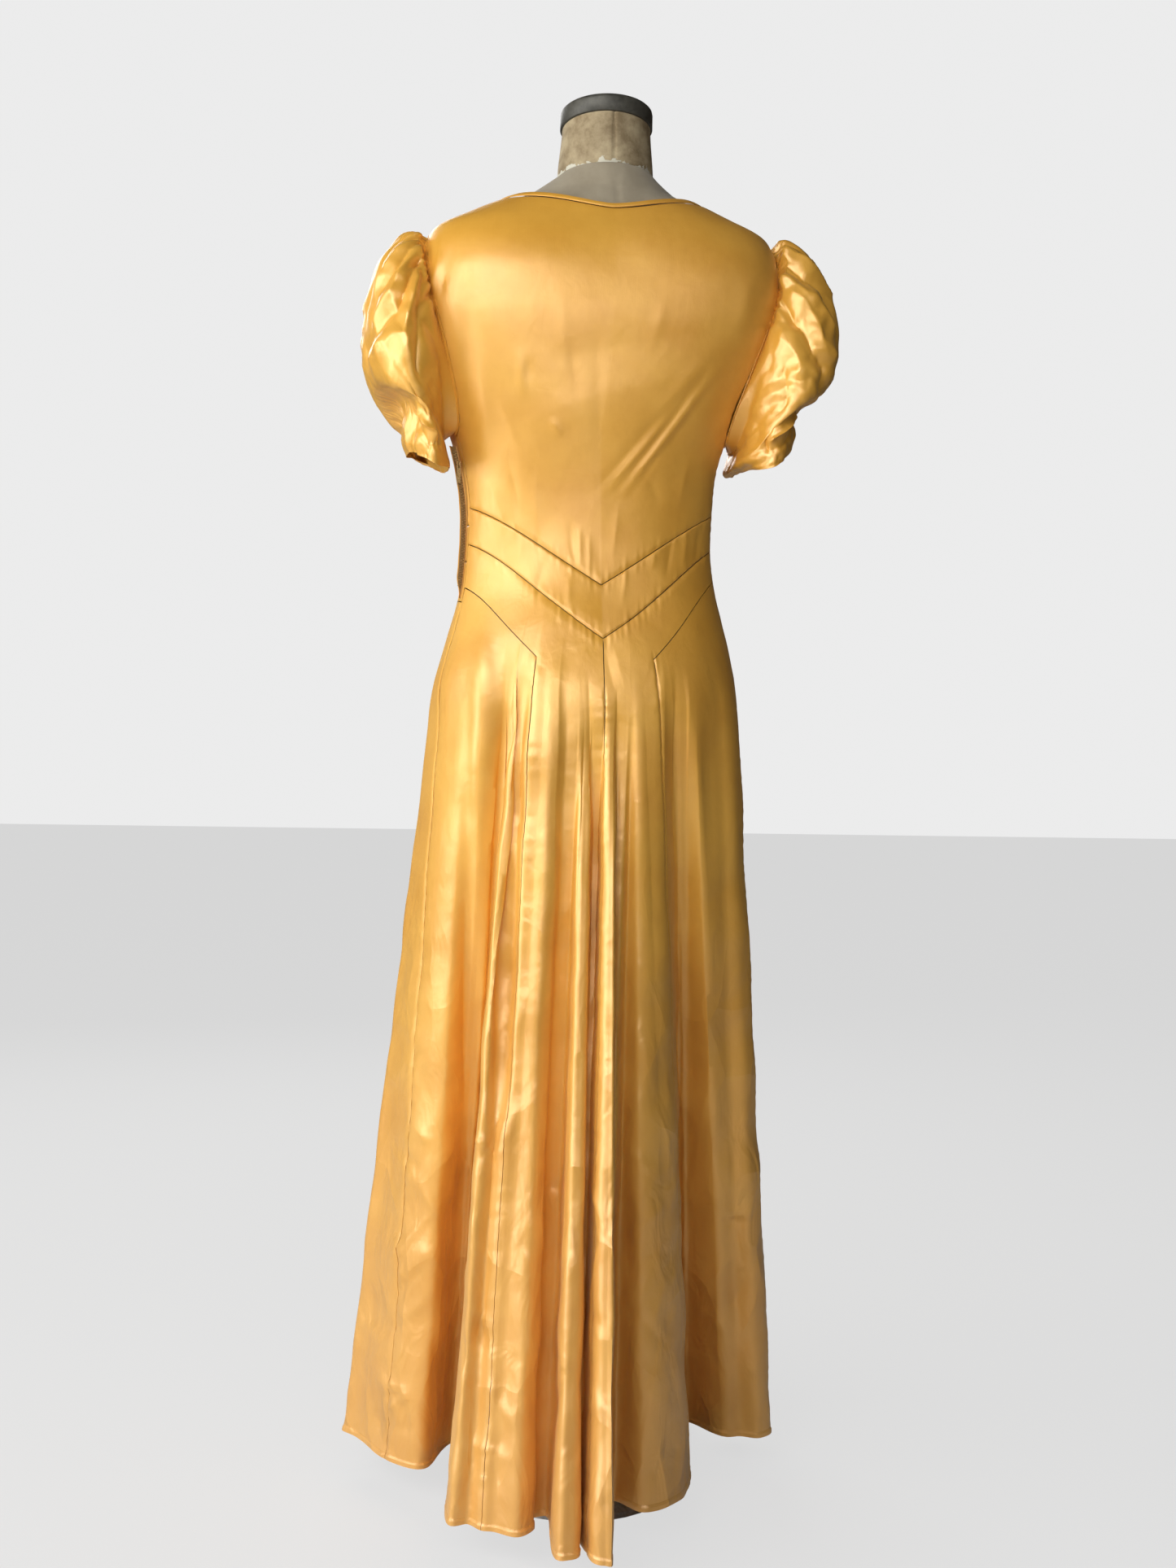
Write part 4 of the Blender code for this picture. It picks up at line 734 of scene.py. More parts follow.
def facets(points, seed, height, width):
    """Crumples left by handling: shallow facets that meet in soft, uneven ridges. They are
    set out in space, so they run on from one panel to the next."""
    chance = np.random.default_rng(seed)
    places = np.asarray(points) / width
    total = np.zeros(places.shape[:-1])
    for layer in range(FACET_LAYERS):
        way = unit(chance.normal(size=3) * FACET_LEAN)
        span = chance.uniform(*FACET_SPANS)
        bends = chance.normal(size=(3, 3)) * FACET_BEND_SPREAD
        phase = chance.uniform(0, 10, 5)
        bend = FACET_BEND[0] * np.sin(places @ bends[0] + phase[0]) + FACET_BEND[1] * np.sin(
            places @ (2 * bends[1]) + phase[1])
        wave = np.abs(((places @ way) / span + bend + phase[2]) % 2 - 1)
        wave = np.sqrt(wave**2 + FACET_ROUNDING) - 0.5
        patch = soft_step(*FACET_PATCH,
                          np.sin(places @ (FACET_PATCH_SPREAD * bends[2]) + phase[3]))
        total += wave * patch * span
    return total * height


# Each crease: where it starts and ends in the photograph, its height and its half width.
BODICE_CREASES = (
    (884, 450, 764, 608, 1.3, 4), (878, 445, 758, 603, -0.9, 5), (890, 456, 770, 613, -0.6, 5),
    (846, 486, 742, 606, 0.8, 4), (838, 480, 734, 600, -0.6, 5), (868, 440, 800, 520, 0.7, 9),
    (640, 430, 642, 488, 0.9, 4), (650, 440, 648, 470, -0.7, 4), (676, 515, 690, 535, 0.9, 5),
    (712, 648, 713, 700, 0.8, 4), (700, 640, 704, 690, -0.6, 4), (724, 655, 724, 705, 0.6, 4),
    (541, 308, 528, 372, 1.6, 6), (550, 306, 540, 366, -1.8, 6), (570, 330, 578, 470, -1.2, 12),
    (590, 420, 600, 560, 0.9, 10), (925, 330, 905, 420, 1.0, 10), (905, 430, 880, 540, -1.2, 12),
    (735, 400, 736, 600, -0.4, 9), (690, 350, 696, 470, 0.4, 8), (795, 585, 812, 622, -0.8, 5),
    (845, 560, 835, 620, 0.7, 6), (602, 590, 618, 640, 0.8, 7), (625, 560, 640, 640, -0.7, 7),
    (655, 585, 662, 660, 0.6, 6), (760, 620, 752, 690, 0.6, 6), (860, 470, 790, 600, 0.5, 5),
    (610, 480, 640, 560, 0.5, 8), (700, 420, 712, 500, -0.4, 7), (820, 360, 800, 430, 0.5, 8),
)
# The hidden front's drag lines, in metres across and up, laid out at the photograph's scale.
FRONT_DRAGS = (
    (-0.090, 1.190, -0.020, 1.075, 1.5, 0.008), (0.095, 1.200, 0.030, 1.085, 1.4, 0.009),
    (-0.045, 1.130, -0.030, 1.050, 0.9, 0.006), (0.060, 1.120, 0.050, 1.060, 0.9, 0.006),
)
FRONT_PIXELS = 1060.0
BODICE_CREASE_SCALE = 1.7
PANEL_FACETS = (31, 0.0012, 0.055)
for node, front in (("bodice_back", False), ("bodice_front", True)):
    grid = bodice_grid(front)
    middle = cloth_point(grid[..., 0], grid[..., 1])
    outward = body_normal(grid[..., 0], grid[..., 1])
    if front:
        drags = [(x * FRONT_PIXELS, z * -FRONT_PIXELS, x_to * FRONT_PIXELS,
                  z_to * -FRONT_PIXELS, height, width * FRONT_PIXELS)
                 for x, z, x_to, z_to, height, width in FRONT_DRAGS]
        lift = crease_lift(middle[..., [0, 2]] * (FRONT_PIXELS, -FRONT_PIXELS), drags)
    else:
        lift = crease_lift(seen_at(middle), BODICE_CREASES) * BODICE_CREASE_SCALE
    across, up = measured(middle, False)
    to_side = np.minimum(np.abs(across - across[:, :1]), np.abs(across - across[:, -1:]))
    lift = lift + seam_relief(up) + seam_relief(to_side) + seam_relief(up[-1:] - up)
    lift = lift + pucker(up, middle[..., 0]) + pucker(to_side, middle[..., 2])
    lift = lift + facets(middle, *PANEL_FACETS)
    piece = satin_shell(node + "_satin", middle + outward * lift[..., None], outward)
    dress(piece, bodice_satin, "gold_satin", node)


# Upper bands. A pointed satin band over the waist at the back and at the front, lapped over
# the bodice and top-stitched by machine close to its edges.
STITCH_LENGTH, STITCH_PITCH, STITCH_RADIUS = 0.0019, 0.0027, 0.00020
STITCH_SINK, STITCH_RISE, FIRST_STITCH = 0.00005, 0.6, 0.001
STITCH_SWELL = ((0.0, 0.25), (0.3, 1.0), (0.7, 1.0), (1.0, 0.25))
THREAD_WIDTH = 0.0003
thread = patterned("golden_silk_thread",
                   ("TexWave", {"bands_direction": "DIAGONAL", "Scale": 900.0}),
                   (0.0, (0.42, 0.19, 0.030)), (1.0, (0.66, 0.33, 0.060)), grain=True,
                   Roughness=0.45, Sheen_Weight=0.2)


def stitches(name, points, outward):
    """A run of machine stitches along a line: thread that rises from one hole to the next."""
    steps = np.linalg.norm(np.diff(points, axis=0), axis=-1)
    along = np.concatenate([[0.0], np.cumsum(steps)])
    starts = np.arange(FIRST_STITCH, along[-1] - STITCH_LENGTH, STITCH_PITCH)

    def read(values, distance):
        return np.stack([np.interp(distance, along, values[:, k]) for k in range(3)], -1)

    rings = []
    for share, swell in STITCH_SWELL:
        centre = read(points, starts + share * STITCH_LENGTH)
        out = unit(read(outward, starts + share * STITCH_LENGTH))
        run = unit(read(points, starts + STITCH_LENGTH) - read(points, starts))
        side = np.cross(out, run)
        for turn in np.arange(4) * np.pi / 2:
            rings.append(centre + STITCH_RADIUS * swell * (np.cos(turn) * side
                                                           + (np.sin(turn) + STITCH_RISE) * out)
                         - STITCH_SINK * out)
    corners = np.stack(rings, 1).reshape(-1, 3)
    faces = [(4 * level + k, 4 * level + (k + 1) % 4, 4 * level + 4 + (k + 1) % 4,
              4 * level + 4 + k) for level in range(3) for k in range(4)]
    faces += [(3, 2, 1, 0), (12, 13, 14, 15)]
    faces = (np.array(faces)[None] + 16 * np.arange(len(starts))[:, None, None]).reshape(-1, 4)
    grain = np.array([(0.0, 0.0), (THREAD_WIDTH, 0.0), (THREAD_WIDTH, STITCH_LENGTH),
                      (0.0, STITCH_LENGTH)])
    run = quad_piece(name, corners, faces, np.broadcast_to(grain, (len(faces), 4, 2)),
                     ALL_SMOOTH)
    dress(run, thread, "gold_satin")
    return run


BAND_ROWS = 25
BAND_CREASES = (
    (812, 655, 800, 700, 0.8, 4), (828, 650, 818, 712, -0.8, 4), (845, 640, 838, 705, 0.8, 4),
    (860, 640, 855, 700, -0.7, 4), (668, 690, 660, 735, -0.7, 5), (640, 660, 636, 715, 0.6, 5),
    (700, 706, 698, 748, 0.6, 5), (770, 700, 764, 745, 0.6, 5),
)
for node, front in (("upper_band_back", False), ("upper_band_front", True)):
    angles = panel_angles(front, BODICE_COLUMNS)
    top = seam_height(UPPER_SEAM, angles, front)
    bottom = seam_height(MIDDLE_SEAM, angles, front)
    z = bottom + (top - bottom) * np.linspace(0, 1, BAND_ROWS)[:, None]
    angle = np.broadcast_to(angles, z.shape)
    middle, outward = cloth_point(angle, z), body_normal(angle, z)
    across, up = measured(middle, False)
    lift = seam_relief(up) + seam_relief(up[-1:] - up)
    lift = lift + pucker(up, middle[..., 0]) + pucker(up[-1:] - up, middle[..., 0])
    lift = lift + facets(middle, *PANEL_FACETS)
    if not front:
        lift = lift + crease_lift(seen_at(middle), BAND_CREASES) * BODICE_CREASE_SCALE
    middle = middle + outward * lift[..., None]
    piece = satin_shell(node + "_satin", middle, outward)
    dress(piece, bodice_satin, "gold_satin", node)
    runs = [stitches(node + "_stitches_" + edge, middle[row] + outward[row] * SHELL / 2,
                     outward[row]) for edge, row in (("lower", 1), ("upper", -2))]


# Skirt. Gores of the same satin, cut wide at the hem so that they fall in deep flutes. The
# centre gores are cut in one with the lower band, and every gore has a narrow rolled hem.
HEM_HEIGHT = 0.046
HIP_HEIGHT = 0.885
FOLD_COLUMNS = ("hip", "start", "x", "y", "width")
SKIRT_FOLDS = {
    "left_side_ridge": (-98, 0.96, -0.264, 0.095, 0.050),
    "left_side_seam": (-SIDE_SEAM, 0.885, -0.222, -0.010, 0),
    "left_back_ridge": (-64, 0.93, -0.182, -0.046, 0),
    "left_back_valley": (-49, 0.87, -0.139, 0.030, 0.018),
    "left_gore_ridge": (-43, 0.94, -0.171, -0.194, 0),
    "left_gore_dip": (-39, 0.84, -0.150, -0.212, 0),
    "left_gore_seam": (BACK_LEFT_GORE, 0.94, -0.139, -0.230, 0),
    "left_centre_ridge": (-27, 0.93, -0.104, -0.252, 0.040),
    "left_centre_valley": (-15.5, 0.88, -0.074, -0.200, 0.022),
    "back_ridge_a": (-9.5, 0.84, -0.062, -0.316, 0.024),
    "back_crease": (-4.5, 0.74, -0.0455, -0.266, 0.008),
    "centre_back_seam": (BACK_CENTRE, 0.86, -0.0405, -0.300, 0),
    "back_ridge_b": (2.5, 0.87, -0.029, -0.334, 0.019),
    "right_centre_valley": (7.5, 0.87, -0.013, -0.205, 0.012),
    "back_ridge_c": (15, 0.90, 0.036, -0.204, 0.064),
    "right_gore_seam": (BACK_RIGHT_GORE, 0.93, 0.106, -0.122, 0),
    "right_gore_valley": (37, 0.90, 0.147, 0.072, 0.018),
    "right_ridge_d": (45, 0.86, 0.180, 0.018, 0),
    "right_dent": (57, 0.95, 0.199, 0.014, 0),
    "right_ridge_e": (70, 0.88, 0.221, 0.004, 0),
    "right_side_seam": (SIDE_SEAM, 0.885, 0.240, 0.032, 0),
    "right_side_valley": (96, 0.90, 0.206, 0.100, 0),
    "right_front_ridge": (109, 0.92, 0.222, 0.178, 0.040),
    "right_front_valley": (121, 0.86, 0.154, 0.152, 0.022),
    "right_front_fold": (134, 0.88, 0.142, 0.256, 0.046),
    "front_gore_seam_right": (180 - FRONT_GORE, 0.88, 0.090, 0.178, 0.020),
    "front_ridge_right": (163, 0.87, 0.054, 0.284, 0.050),
    "front_valley": (180, 0.84, 0.004, 0.184, 0.024),
    "front_ridge_left": (190, 0.88, -0.048, 0.286, 0.046),
    "front_gore_seam_left": (180 + FRONT_GORE, 0.86, -0.094, 0.180, 0.018),
    "left_front_fold": (225, 0.90, -0.150, 0.258, 0.050),
    "left_front_valley": (239, 0.87, -0.166, 0.160, 0.020),
    "left_front_ridge": (250, 0.92, -0.226, 0.176, 0.036),
}
SKIRT_FLARE = 0.14
FOLD_START_BLUR, FOLD_START_TRIM = 0.035, 0.12
EDGE_SHARE, EDGE_DEPTH = 0.34, 0.9
SKIRT_NORMAL_TURN, SKIRT_NORMAL_RISE = 0.02, 0.004
LEAST_STEPS, MOST_STEPS = 4, 40
HEM_STEP, LEVEL_STEP = {False: 0.0045, True: 0.0062}, {False: 0.0049, True: 0.0066}
HEM_ROWS = (0.0014, 0.0028, 0.0042, 0.0070, 0.0084)
HIP_ROWS, LOWER_BAND_ROWS = 13, 11


def fold_controls():
    """The hem's control points: one for a plain point, three round a ridge or a valley."""
    controls = []
    rows = [dict(zip(FOLD_COLUMNS, row), name=name) for name, row in SKIRT_FOLDS.items()]
    count = len(rows)
    places = np.array([(row["x"], row["y"]) for row in rows])
    hips = np.array([row["hip"] for row in rows])
    gaps = (np.roll(hips, -1) - hips) % 360.0
    for index, row in enumerate(rows):
        if not row["width"]:
            controls.append((row["name"], row["hip"], row["start"], *places[index]))
            continue
        ahead, behind = places[(index + 1) % count], places[index - 1]
        inward = unit((ahead + behind) / 2 - places[index])
        round_way = np.array([inward[1], -inward[0]])
        round_way *= np.sign(np.dot(round_way, ahead - behind))
        edges = ((-1, gaps[index - 1], "_before"), (0, 0.0, ""), (1, gaps[index], "_after"))
        for side, gap, ending in edges:
            shift = side * round_way + abs(side) * EDGE_DEPTH * inward
            point = places[index] + row["width"] / 2 * shift
            hip = row["hip"] + side * EDGE_SHARE * gap
            controls.append((row["name"] + ending, hip, row["start"], *point))
    return controls


FOLD_CONTROLS = fold_controls()
CONTROL_COUNT = len(FOLD_CONTROLS)
CONTROL_VALUES = np.array([control[1:] for control in FOLD_CONTROLS])


def control_at(index):
    """Control values at a whole position that may run past either end of the ring."""
    turns, inside = np.divmod(index, CONTROL_COUNT)
    values = CONTROL_VALUES[inside].copy()
    values[..., 0] += 360.0 * turns
    return values


def smooth_curve(before, here, after, beyond, t):
    """A point between the middle two of four, on a smooth curve through them."""
    return 0.5 * (2 * here + (after - before) * t
                  + (2 * before - 5 * here + 4 * after - beyond) * t**2
                  + (3 * here - before - 3 * after + beyond) * t**3)


def fold_reading(position):
    """Hip angle, start height and hem place at any position round the skirt."""
    position = np.asarray(position, float)
    low = np.floor(position).astype(int)
    t = (position - low)[..., None]
    points = [control_at(low + step) for step in (-1, 0, 1, 2)]
    line = points[1] + (points[2] - points[1]) * t
    return line[..., 0], line[..., 1], smooth_curve(*points, t)[..., 2:4]


def seam_position(name):
    return [control[0] for control in FOLD_CONTROLS].index(name)


def skirt_point(position, z):
    """The middle of the skirt's cloth: the hip's section, flaring into folds below it."""
    position, z = np.broadcast_arrays(np.asarray(position, float), np.asarray(z, float))
    hip, start, hem = fold_reading(position)
    waist = cloth_point(hip, np.maximum(z, HIP_HEIGHT))
    flare = 1 + SKIRT_FLARE * np.maximum(HIP_HEIGHT - z, 0.0)
    plain_hem = cloth_point(hip, np.full_like(z, HIP_HEIGHT))[..., :2]
    plain_hem = plain_hem * (1 + SKIRT_FLARE * (HIP_HEIGHT - HEM_HEIGHT))
    share = (start - z) / (start - HEM_HEIGHT)
    share = (share + np.sqrt(share**2 + FOLD_START_BLUR**2)) / 2
    share = np.maximum(share - FOLD_START_BLUR * FOLD_START_TRIM, 0.0)
    level = waist[..., :2] * flare[..., None] + (hem - plain_hem) * share[..., None]
    height = np.where(z > HIP_HEIGHT, waist[..., 2], z)
    return np.concatenate([level, height[..., None]], -1)


def skirt_normal(position, z):
    position, z = np.broadcast_arrays(np.asarray(position, float), np.asarray(z, float))
    round_way = (skirt_point(position + SKIRT_NORMAL_TURN, z)
                 - skirt_point(position - SKIRT_NORMAL_TURN, z))
    up_way = (skirt_point(position, z + SKIRT_NORMAL_RISE)
              - skirt_point(position, z - SKIRT_NORMAL_RISE))
    return unit(np.cross(round_way, up_way))


def skirt_columns(first, last, front):
    """Column positions, spaced along the hem."""
    positions = []
    for control in range(first, last):
        ends = fold_reading(np.linspace(control, control + 1, 9))[2]
        length = np.linalg.norm(np.diff(ends, axis=0), axis=-1).sum()
        steps = int(np.clip(np.ceil(length / HEM_STEP[front]), LEAST_STEPS, MOST_STEPS))
        positions += list(control + np.arange(steps) / steps)
    return np.array(positions + [last], float)


def skirt_grid(first, last, front):
    """Positions and heights of a stretch of skirt, from the hem to the middle seam."""
    position = skirt_columns(first, last, front)
    hip = fold_reading(position)[0]
    middle = seam_height(MIDDLE_SEAM, hip, front)
    lower = seam_height(LOWER_SEAM, hip, front)
    rows = int(round((HIP_HEIGHT - HEM_HEIGHT) / LEVEL_STEP[front]))
    levels = np.linspace(HEM_HEIGHT, HIP_HEIGHT, rows)
    levels = np.sort(np.concatenate([levels, HEM_HEIGHT + np.array(HEM_ROWS)]))
    z = [np.full(len(position), level) for level in levels]
    z += [HIP_HEIGHT + (lower - HIP_HEIGHT) * t for t in np.linspace(0, 1, HIP_ROWS)[1:]]
    below_band = len(z)
    z += [lower + (middle - lower) * t for t in np.linspace(0, 1, LOWER_BAND_ROWS)[1:]]
    z = np.array(z)
    return np.broadcast_to(position, z.shape), z, below_band


skirt_satin = satin("golden_satin_skirt", light=(0.80, 0.425, 0.062),
                    deep=(0.70, 0.335, 0.040), crumple=0.20, dullness=0.40)

left_side, left_gore, centre_back, right_gore, right_side, front_right, front_left = (
    seam_position(name) for name in (
        "left_side_seam", "left_gore_seam", "centre_back_seam", "right_gore_seam",
        "right_side_seam", "front_gore_seam_right", "front_gore_seam_left"))
round_again = left_side + CONTROL_COUNT
GORE_COLUMNS = ("band", "gore", "front", "flat", "area")
GORES = {
    "back_gore_side_left": (None, (left_side, left_gore), False, (0.40, 0.96), 0.23),
    "back_gore_side_right": (None, (right_gore, right_side), False, (0.38, 0.98), 0.23),
    "front_gore_side_right": (None, (right_side, front_right), True, (0.50, 0.96), 0.28),
    "front_gore_side_left": (None, (front_left, round_again), True, (0.50, 0.96), 0.28),
    "back_gore_centre_left": ((left_side, centre_back), (left_gore, centre_back), False,
                              (0.46, 1.05), 0.25),
    "back_gore_centre_right": ((centre_back, right_side), (centre_back, right_gore), False,
                               (0.44, 1.05), 0.24),
    "front_gore_centre": ((right_side, round_again), (front_right, front_left), True,
                          (0.60, 1.02), 0.36),
}
# Where the folds start on the hip, as they show in the photograph.
SKIRT_FOLD_STARTS = (
    (575, 838, 566, 1000, 1.6, 12), (594, 780, 586, 1040, 7.5, 13),
    (590, 960, 588, 1240, 6.0, 13), (616, 786, 618, 960, -6.0, 12),
    (618, 870, 620, 1160, -11.0, 13), (620, 1020, 616, 1380, -13.0, 12),
    (634, 790, 634, 1040, -4.0, 12), (651, 830, 640, 1040, 2.5, 6),
    (572, 850, 560, 1060, 1.6, 12),
    (723, 833, 728, 1020, -2.4, 4), (714, 962, 709, 1120, 2.6, 4), (744, 835, 744, 1060, 2.2, 6),
    (758, 848, 760, 1060, -2.8, 5), (785, 850, 788, 1080, 1.8, 13),
    (830, 824, 828, 1060, -3.2, 6), (816, 814, 815, 1060, 1.6, 6), (846, 834, 845, 1080, 2.6, 6),
    (870, 846, 873, 1080, -3.2, 8), (893, 868, 905, 1080, 1.6, 9),
    (690, 838, 684, 1060, -0.9, 10), (660, 826, 655, 1060, 0.9, 10),
    (743, 800, 756, 850, -0.8, 5), (752, 790, 770, 850, 0.7, 6),
)
# Creases left by handling and packing, mostly low down.
HANDLING_CREASES = (
    (470, 1560, 540, 1480, 1.8, 6), (475, 1604, 530, 1548, -1.4, 6),
    (455, 1688, 505, 1715, 2.2, 6), (474, 1735, 505, 1712, 2.2, 5),
    (485, 1700, 503, 1760, -1.8, 6), (485, 1520, 500, 1548, 1.8, 5),
    (500, 1548, 492, 1578, 1.4, 4), (515, 1383, 530, 1408, 1.6, 5),
    (480, 1400, 520, 1440, -1.4, 7), (445, 1620, 475, 1655, 1.8, 6),
    (475, 1655, 450, 1682, 1.6, 5), (460, 1640, 500, 1622, -1.4, 6),
    (500, 1622, 540, 1580, 1.4, 7), (532, 1640, 546, 1720, -1.8, 8),
    (440, 1742, 540, 1765, -1.0, 6), (505, 1440, 545, 1500, 1.3, 7),
    (470, 1340, 510, 1300, 1.0, 8), (485, 1240, 520, 1290, 1.0, 8),
    (571, 1100, 571, 1400, -1.8, 5), (562, 1560, 570, 1700, -1.8, 5),
    (583, 1395, 610, 1420, 1.8, 5), (580, 1432, 606, 1402, -1.4, 5),
    (580, 1600, 610, 1640, 1.8, 6), (600, 1600, 585, 1660, -1.4, 6),
    (620, 1480, 650, 1560, 1.2, 8), (640, 1350, 602, 1450, 1.2, 8),
    (590, 1700, 640, 1760, 1.4, 8), (630, 1660, 600, 1760, -1.2, 8),
    (560, 1765, 640, 1800, 1.0, 8), (650, 1200, 630, 1290, 1.0, 8),
    (665, 1450, 688, 1462, -1.6, 4), (662, 1560, 685, 1600, 1.2, 5),
    (725, 1450, 740, 1500, 1.1, 5), (722, 1600, 742, 1640, -1.1, 5),
    (730, 1700, 742, 1760, 1.0, 5), (700, 1500, 708, 1560, 0.9, 4),
    (760, 1400, 810, 1450, 1.1, 7), (770, 1522, 820, 1480, 1.1, 8),
    (765, 1600, 830, 1662, -1.1, 8), (775, 1700, 835, 1740, 1.1, 8),
    (820, 1560, 800, 1640, 1.0, 8), (780, 1250, 800, 1330, 0.9, 8),
    (885, 1499, 925, 1503, -1.8, 4), (885, 1490, 925, 1494, 1.4, 4),
    (894, 1395, 893, 1462, 1.8, 4), (881, 1560, 888, 1720, 1.3, 5),
    (850, 1600, 900, 1640, 1.0, 7), (860, 1390, 882, 1300, 1.0, 7),
    (900, 1602, 925, 1560, -1.1, 6), (905, 1650, 930, 1702, 1.1, 6),
    (835, 1420, 860, 1500, 0.9, 7),
)
HEM_DEPTH, HEM_THICKNESS, HEM_EDGE, HEM_PUCKER = 0.0070, 0.0011, 0.0010, 0.006
GORE_TRIM = 0.00038
TRIM_TO, TRIM_FROM = 0.70, 0.90
ALLOWANCE_COLUMNS = (-0.16, -0.05, 0.0, 0.05, 0.16)
ALLOWANCE_TOP, ALLOWANCE_DEPTH, ALLOWANCE_SHELL = 0.935, 0.0022, 0.0004
ALLOWANCE_RISE, ALLOWANCE_ROWS, ALLOWANCE_TOP_ROWS = 0.0006, 150, 10
CRUMPLE_TOP, CRUMPLE_FULL = 0.93, 0.40
HANGING_FACETS = ((71, 0.0014, 0.052), (72, 0.0008, 0.025))
HANDLING_SCALE = 1.9
EDGE_ON, FACE_ON = 0.04, 0.40


def hanging_lift(middle, outward, z):
    """Crumples and creases of the hanging cloth. The creases keep to the cloth that faces the
    photograph; the gown's hidden side takes them as if it were turned round."""
    handled = sum(facets(middle, *facet) for facet in HANGING_FACETS)
    total = facets(middle, *PANEL_FACETS) \
        + handled * (1 - soft_step(CRUMPLE_FULL, CRUMPLE_TOP, z))
    for turned in (np.array((1, 1, 1)), np.array((-1, -1, 1))):
        away = unit(middle * turned - np.array(camera.location))
        facing = soft_step(EDGE_ON, FACE_ON, -(away * outward * turned).sum(-1))
        place = seen_at(middle * turned)
        total = total + crease_lift(place, HANDLING_CREASES) * HANDLING_SCALE * facing
        if turned[0] > 0:
            total = total + crease_lift(place, SKIRT_FOLD_STARTS) * facing
    return total


def make_gore(node, band, gore, front):
    """A gore with its share of the lower band, if any, and the stitches along its hem."""
    first, last = band or gore
    position, z, below_band = skirt_grid(first, last, front)
    if band is None:
        position, z = position[:below_band], z[:below_band]
    middle, outward = skirt_point(position, z), skirt_normal(position, z)
    keep = None
    if band:
        keep = np.zeros((position.shape[0] - 1, position.shape[1] - 1), bool)
        keep[below_band - 1:] = True
        columns = position[0, :-1]
        keep[:, (columns >= gore[0] - 1e-9) & (columns < gore[1] - 1e-9)] = True
    across, up = measured(middle, False)
    edge_left, edge_right = (np.argmax(position[0] >= end - 1e-9) for end in gore)
    to_side = np.minimum(np.abs(across - across[:, edge_left, None]),
                         np.abs(across - across[:, edge_right, None]))
    in_gore = z <= (z[below_band - 1] if band else np.inf)
    lift = np.where(in_gore, seam_relief(to_side) + pucker(to_side, z), 0.0)
    above = z - HEM_HEIGHT
    lift = lift + HEM_THICKNESS * (1 - soft_step(HEM_DEPTH - HEM_EDGE, HEM_DEPTH, above))
    lift = lift + pucker(np.abs(above - HEM_DEPTH), middle[..., 0] + middle[..., 1],
                         reach=HEM_PUCKER)
    lift = lift + hanging_lift(middle, outward, z)
    if band:
        lift = lift + seam_relief(up[-1:] - up) + pucker(up[-1:] - up, middle[..., 0])
    middle = middle + outward * lift[..., None]
    trim = GORE_TRIM + (SEAM_TRIM - GORE_TRIM) * soft_step(TRIM_TO, TRIM_FROM, z)
    piece = satin_shell(node + "_satin", middle, outward, keep, trim=trim)
    hem_row = np.argmin(np.abs(z[:, 0] - HEM_HEIGHT - HEM_DEPTH))
    hem_line = middle[hem_row, edge_left:edge_right + 1]
    hem_out = outward[hem_row, edge_left:edge_right + 1]
    return piece, stitches(node + "_hem_stitches", hem_line + hem_out * SHELL / 2, hem_out)


def make_allowance(name, seam):
    """The seam's two pressed-open edges, a narrow strip behind the cloth."""
    height = np.concatenate([
        np.linspace(HEM_HEIGHT + ALLOWANCE_RISE, HIP_HEIGHT, ALLOWANCE_ROWS),
        np.linspace(HIP_HEIGHT, ALLOWANCE_TOP, ALLOWANCE_TOP_ROWS)[1:]])
    position, height = np.meshgrid(seam + np.array(ALLOWANCE_COLUMNS), height)
    middle, outward = skirt_point(position, height), skirt_normal(position, height)
    lift = hanging_lift(middle, outward, height)
    to_side = np.linalg.norm(middle - middle[:, ALLOWANCE_COLUMNS.index(0.0), None], axis=-1)
    lift = lift + seam_relief(to_side) + pucker(to_side, height) - ALLOWANCE_DEPTH
    strip = satin_shell(name, middle + outward * lift[..., None], outward, shell=ALLOWANCE_SHELL)
    dress(strip, skirt_satin, "gold_satin")
    return strip


for node, row in GORES.items():
    cut = dict(zip(GORE_COLUMNS, row))
    piece, hem_stitches = make_gore(node, cut["band"], cut["gore"], cut["front"])
    allowance = make_allowance(node + "_seam_allowance", cut["gore"][0])
    dress(piece, skirt_satin, "gold_satin", node)


# Puff sleeves. Satin gathered into the armhole over its upper half, full at the elbow side,
# drawn in by a tuck with small gathers above a plain hem.
SLEEVE_COLUMNS = ("out", "drop", "inner", "clear", "back", "front", "sag", "front_sag", "turn")
SLEEVE_RINGS = (
    (0.014, -0.008, 1.2060, 0.012, 0.067, 0.071, 0.000, 0.000, 0),
    (0.030, -0.002, 1.2055, 0.013, 0.076, 0.077, 0.000, 0.000, 0),
    (0.048, 0.018, 1.2050, 0.014, 0.084, 0.082, 0.000, 0.000, 0),
    (0.064, 0.052, 1.2040, 0.015, 0.089, 0.086, 0.000, 0.000, 0),
    (0.072, 0.092, 1.2025, 0.015, 0.093, 0.088, -0.003, -0.002, 0),
    (0.073, 0.135, 1.2010, 0.015, 0.094, 0.088, -0.006, 0.000, 2),
    (0.060, 0.174, 1.1965, 0.015, 0.091, 0.086, -0.006, 0.003, 5),
    (0.032, 0.186, 1.1860, 0.015, 0.084, 0.081, -0.001, 0.008, 11),
    (0.024, 0.202, 1.1785, 0.015, 0.079, 0.077, 0.003, 0.009, 14),
    (0.025, 0.226, 1.1715, 0.015, 0.080, 0.075, 0.008, -0.002, 15),
    (0.019, 0.246, 1.1660, 0.016, 0.078, 0.071, 0.013, -0.011, 16),
)
SLEEVES = {
    "sleeve_left": {"side": -1, "spread": 1.0, "lift": 0.000, "hem_shift": (0.0, 0.004)},
    "sleeve_right": {"side": 1, "spread": 1.13, "lift": 0.009, "hem_shift": (0.014, 0.015)},
}
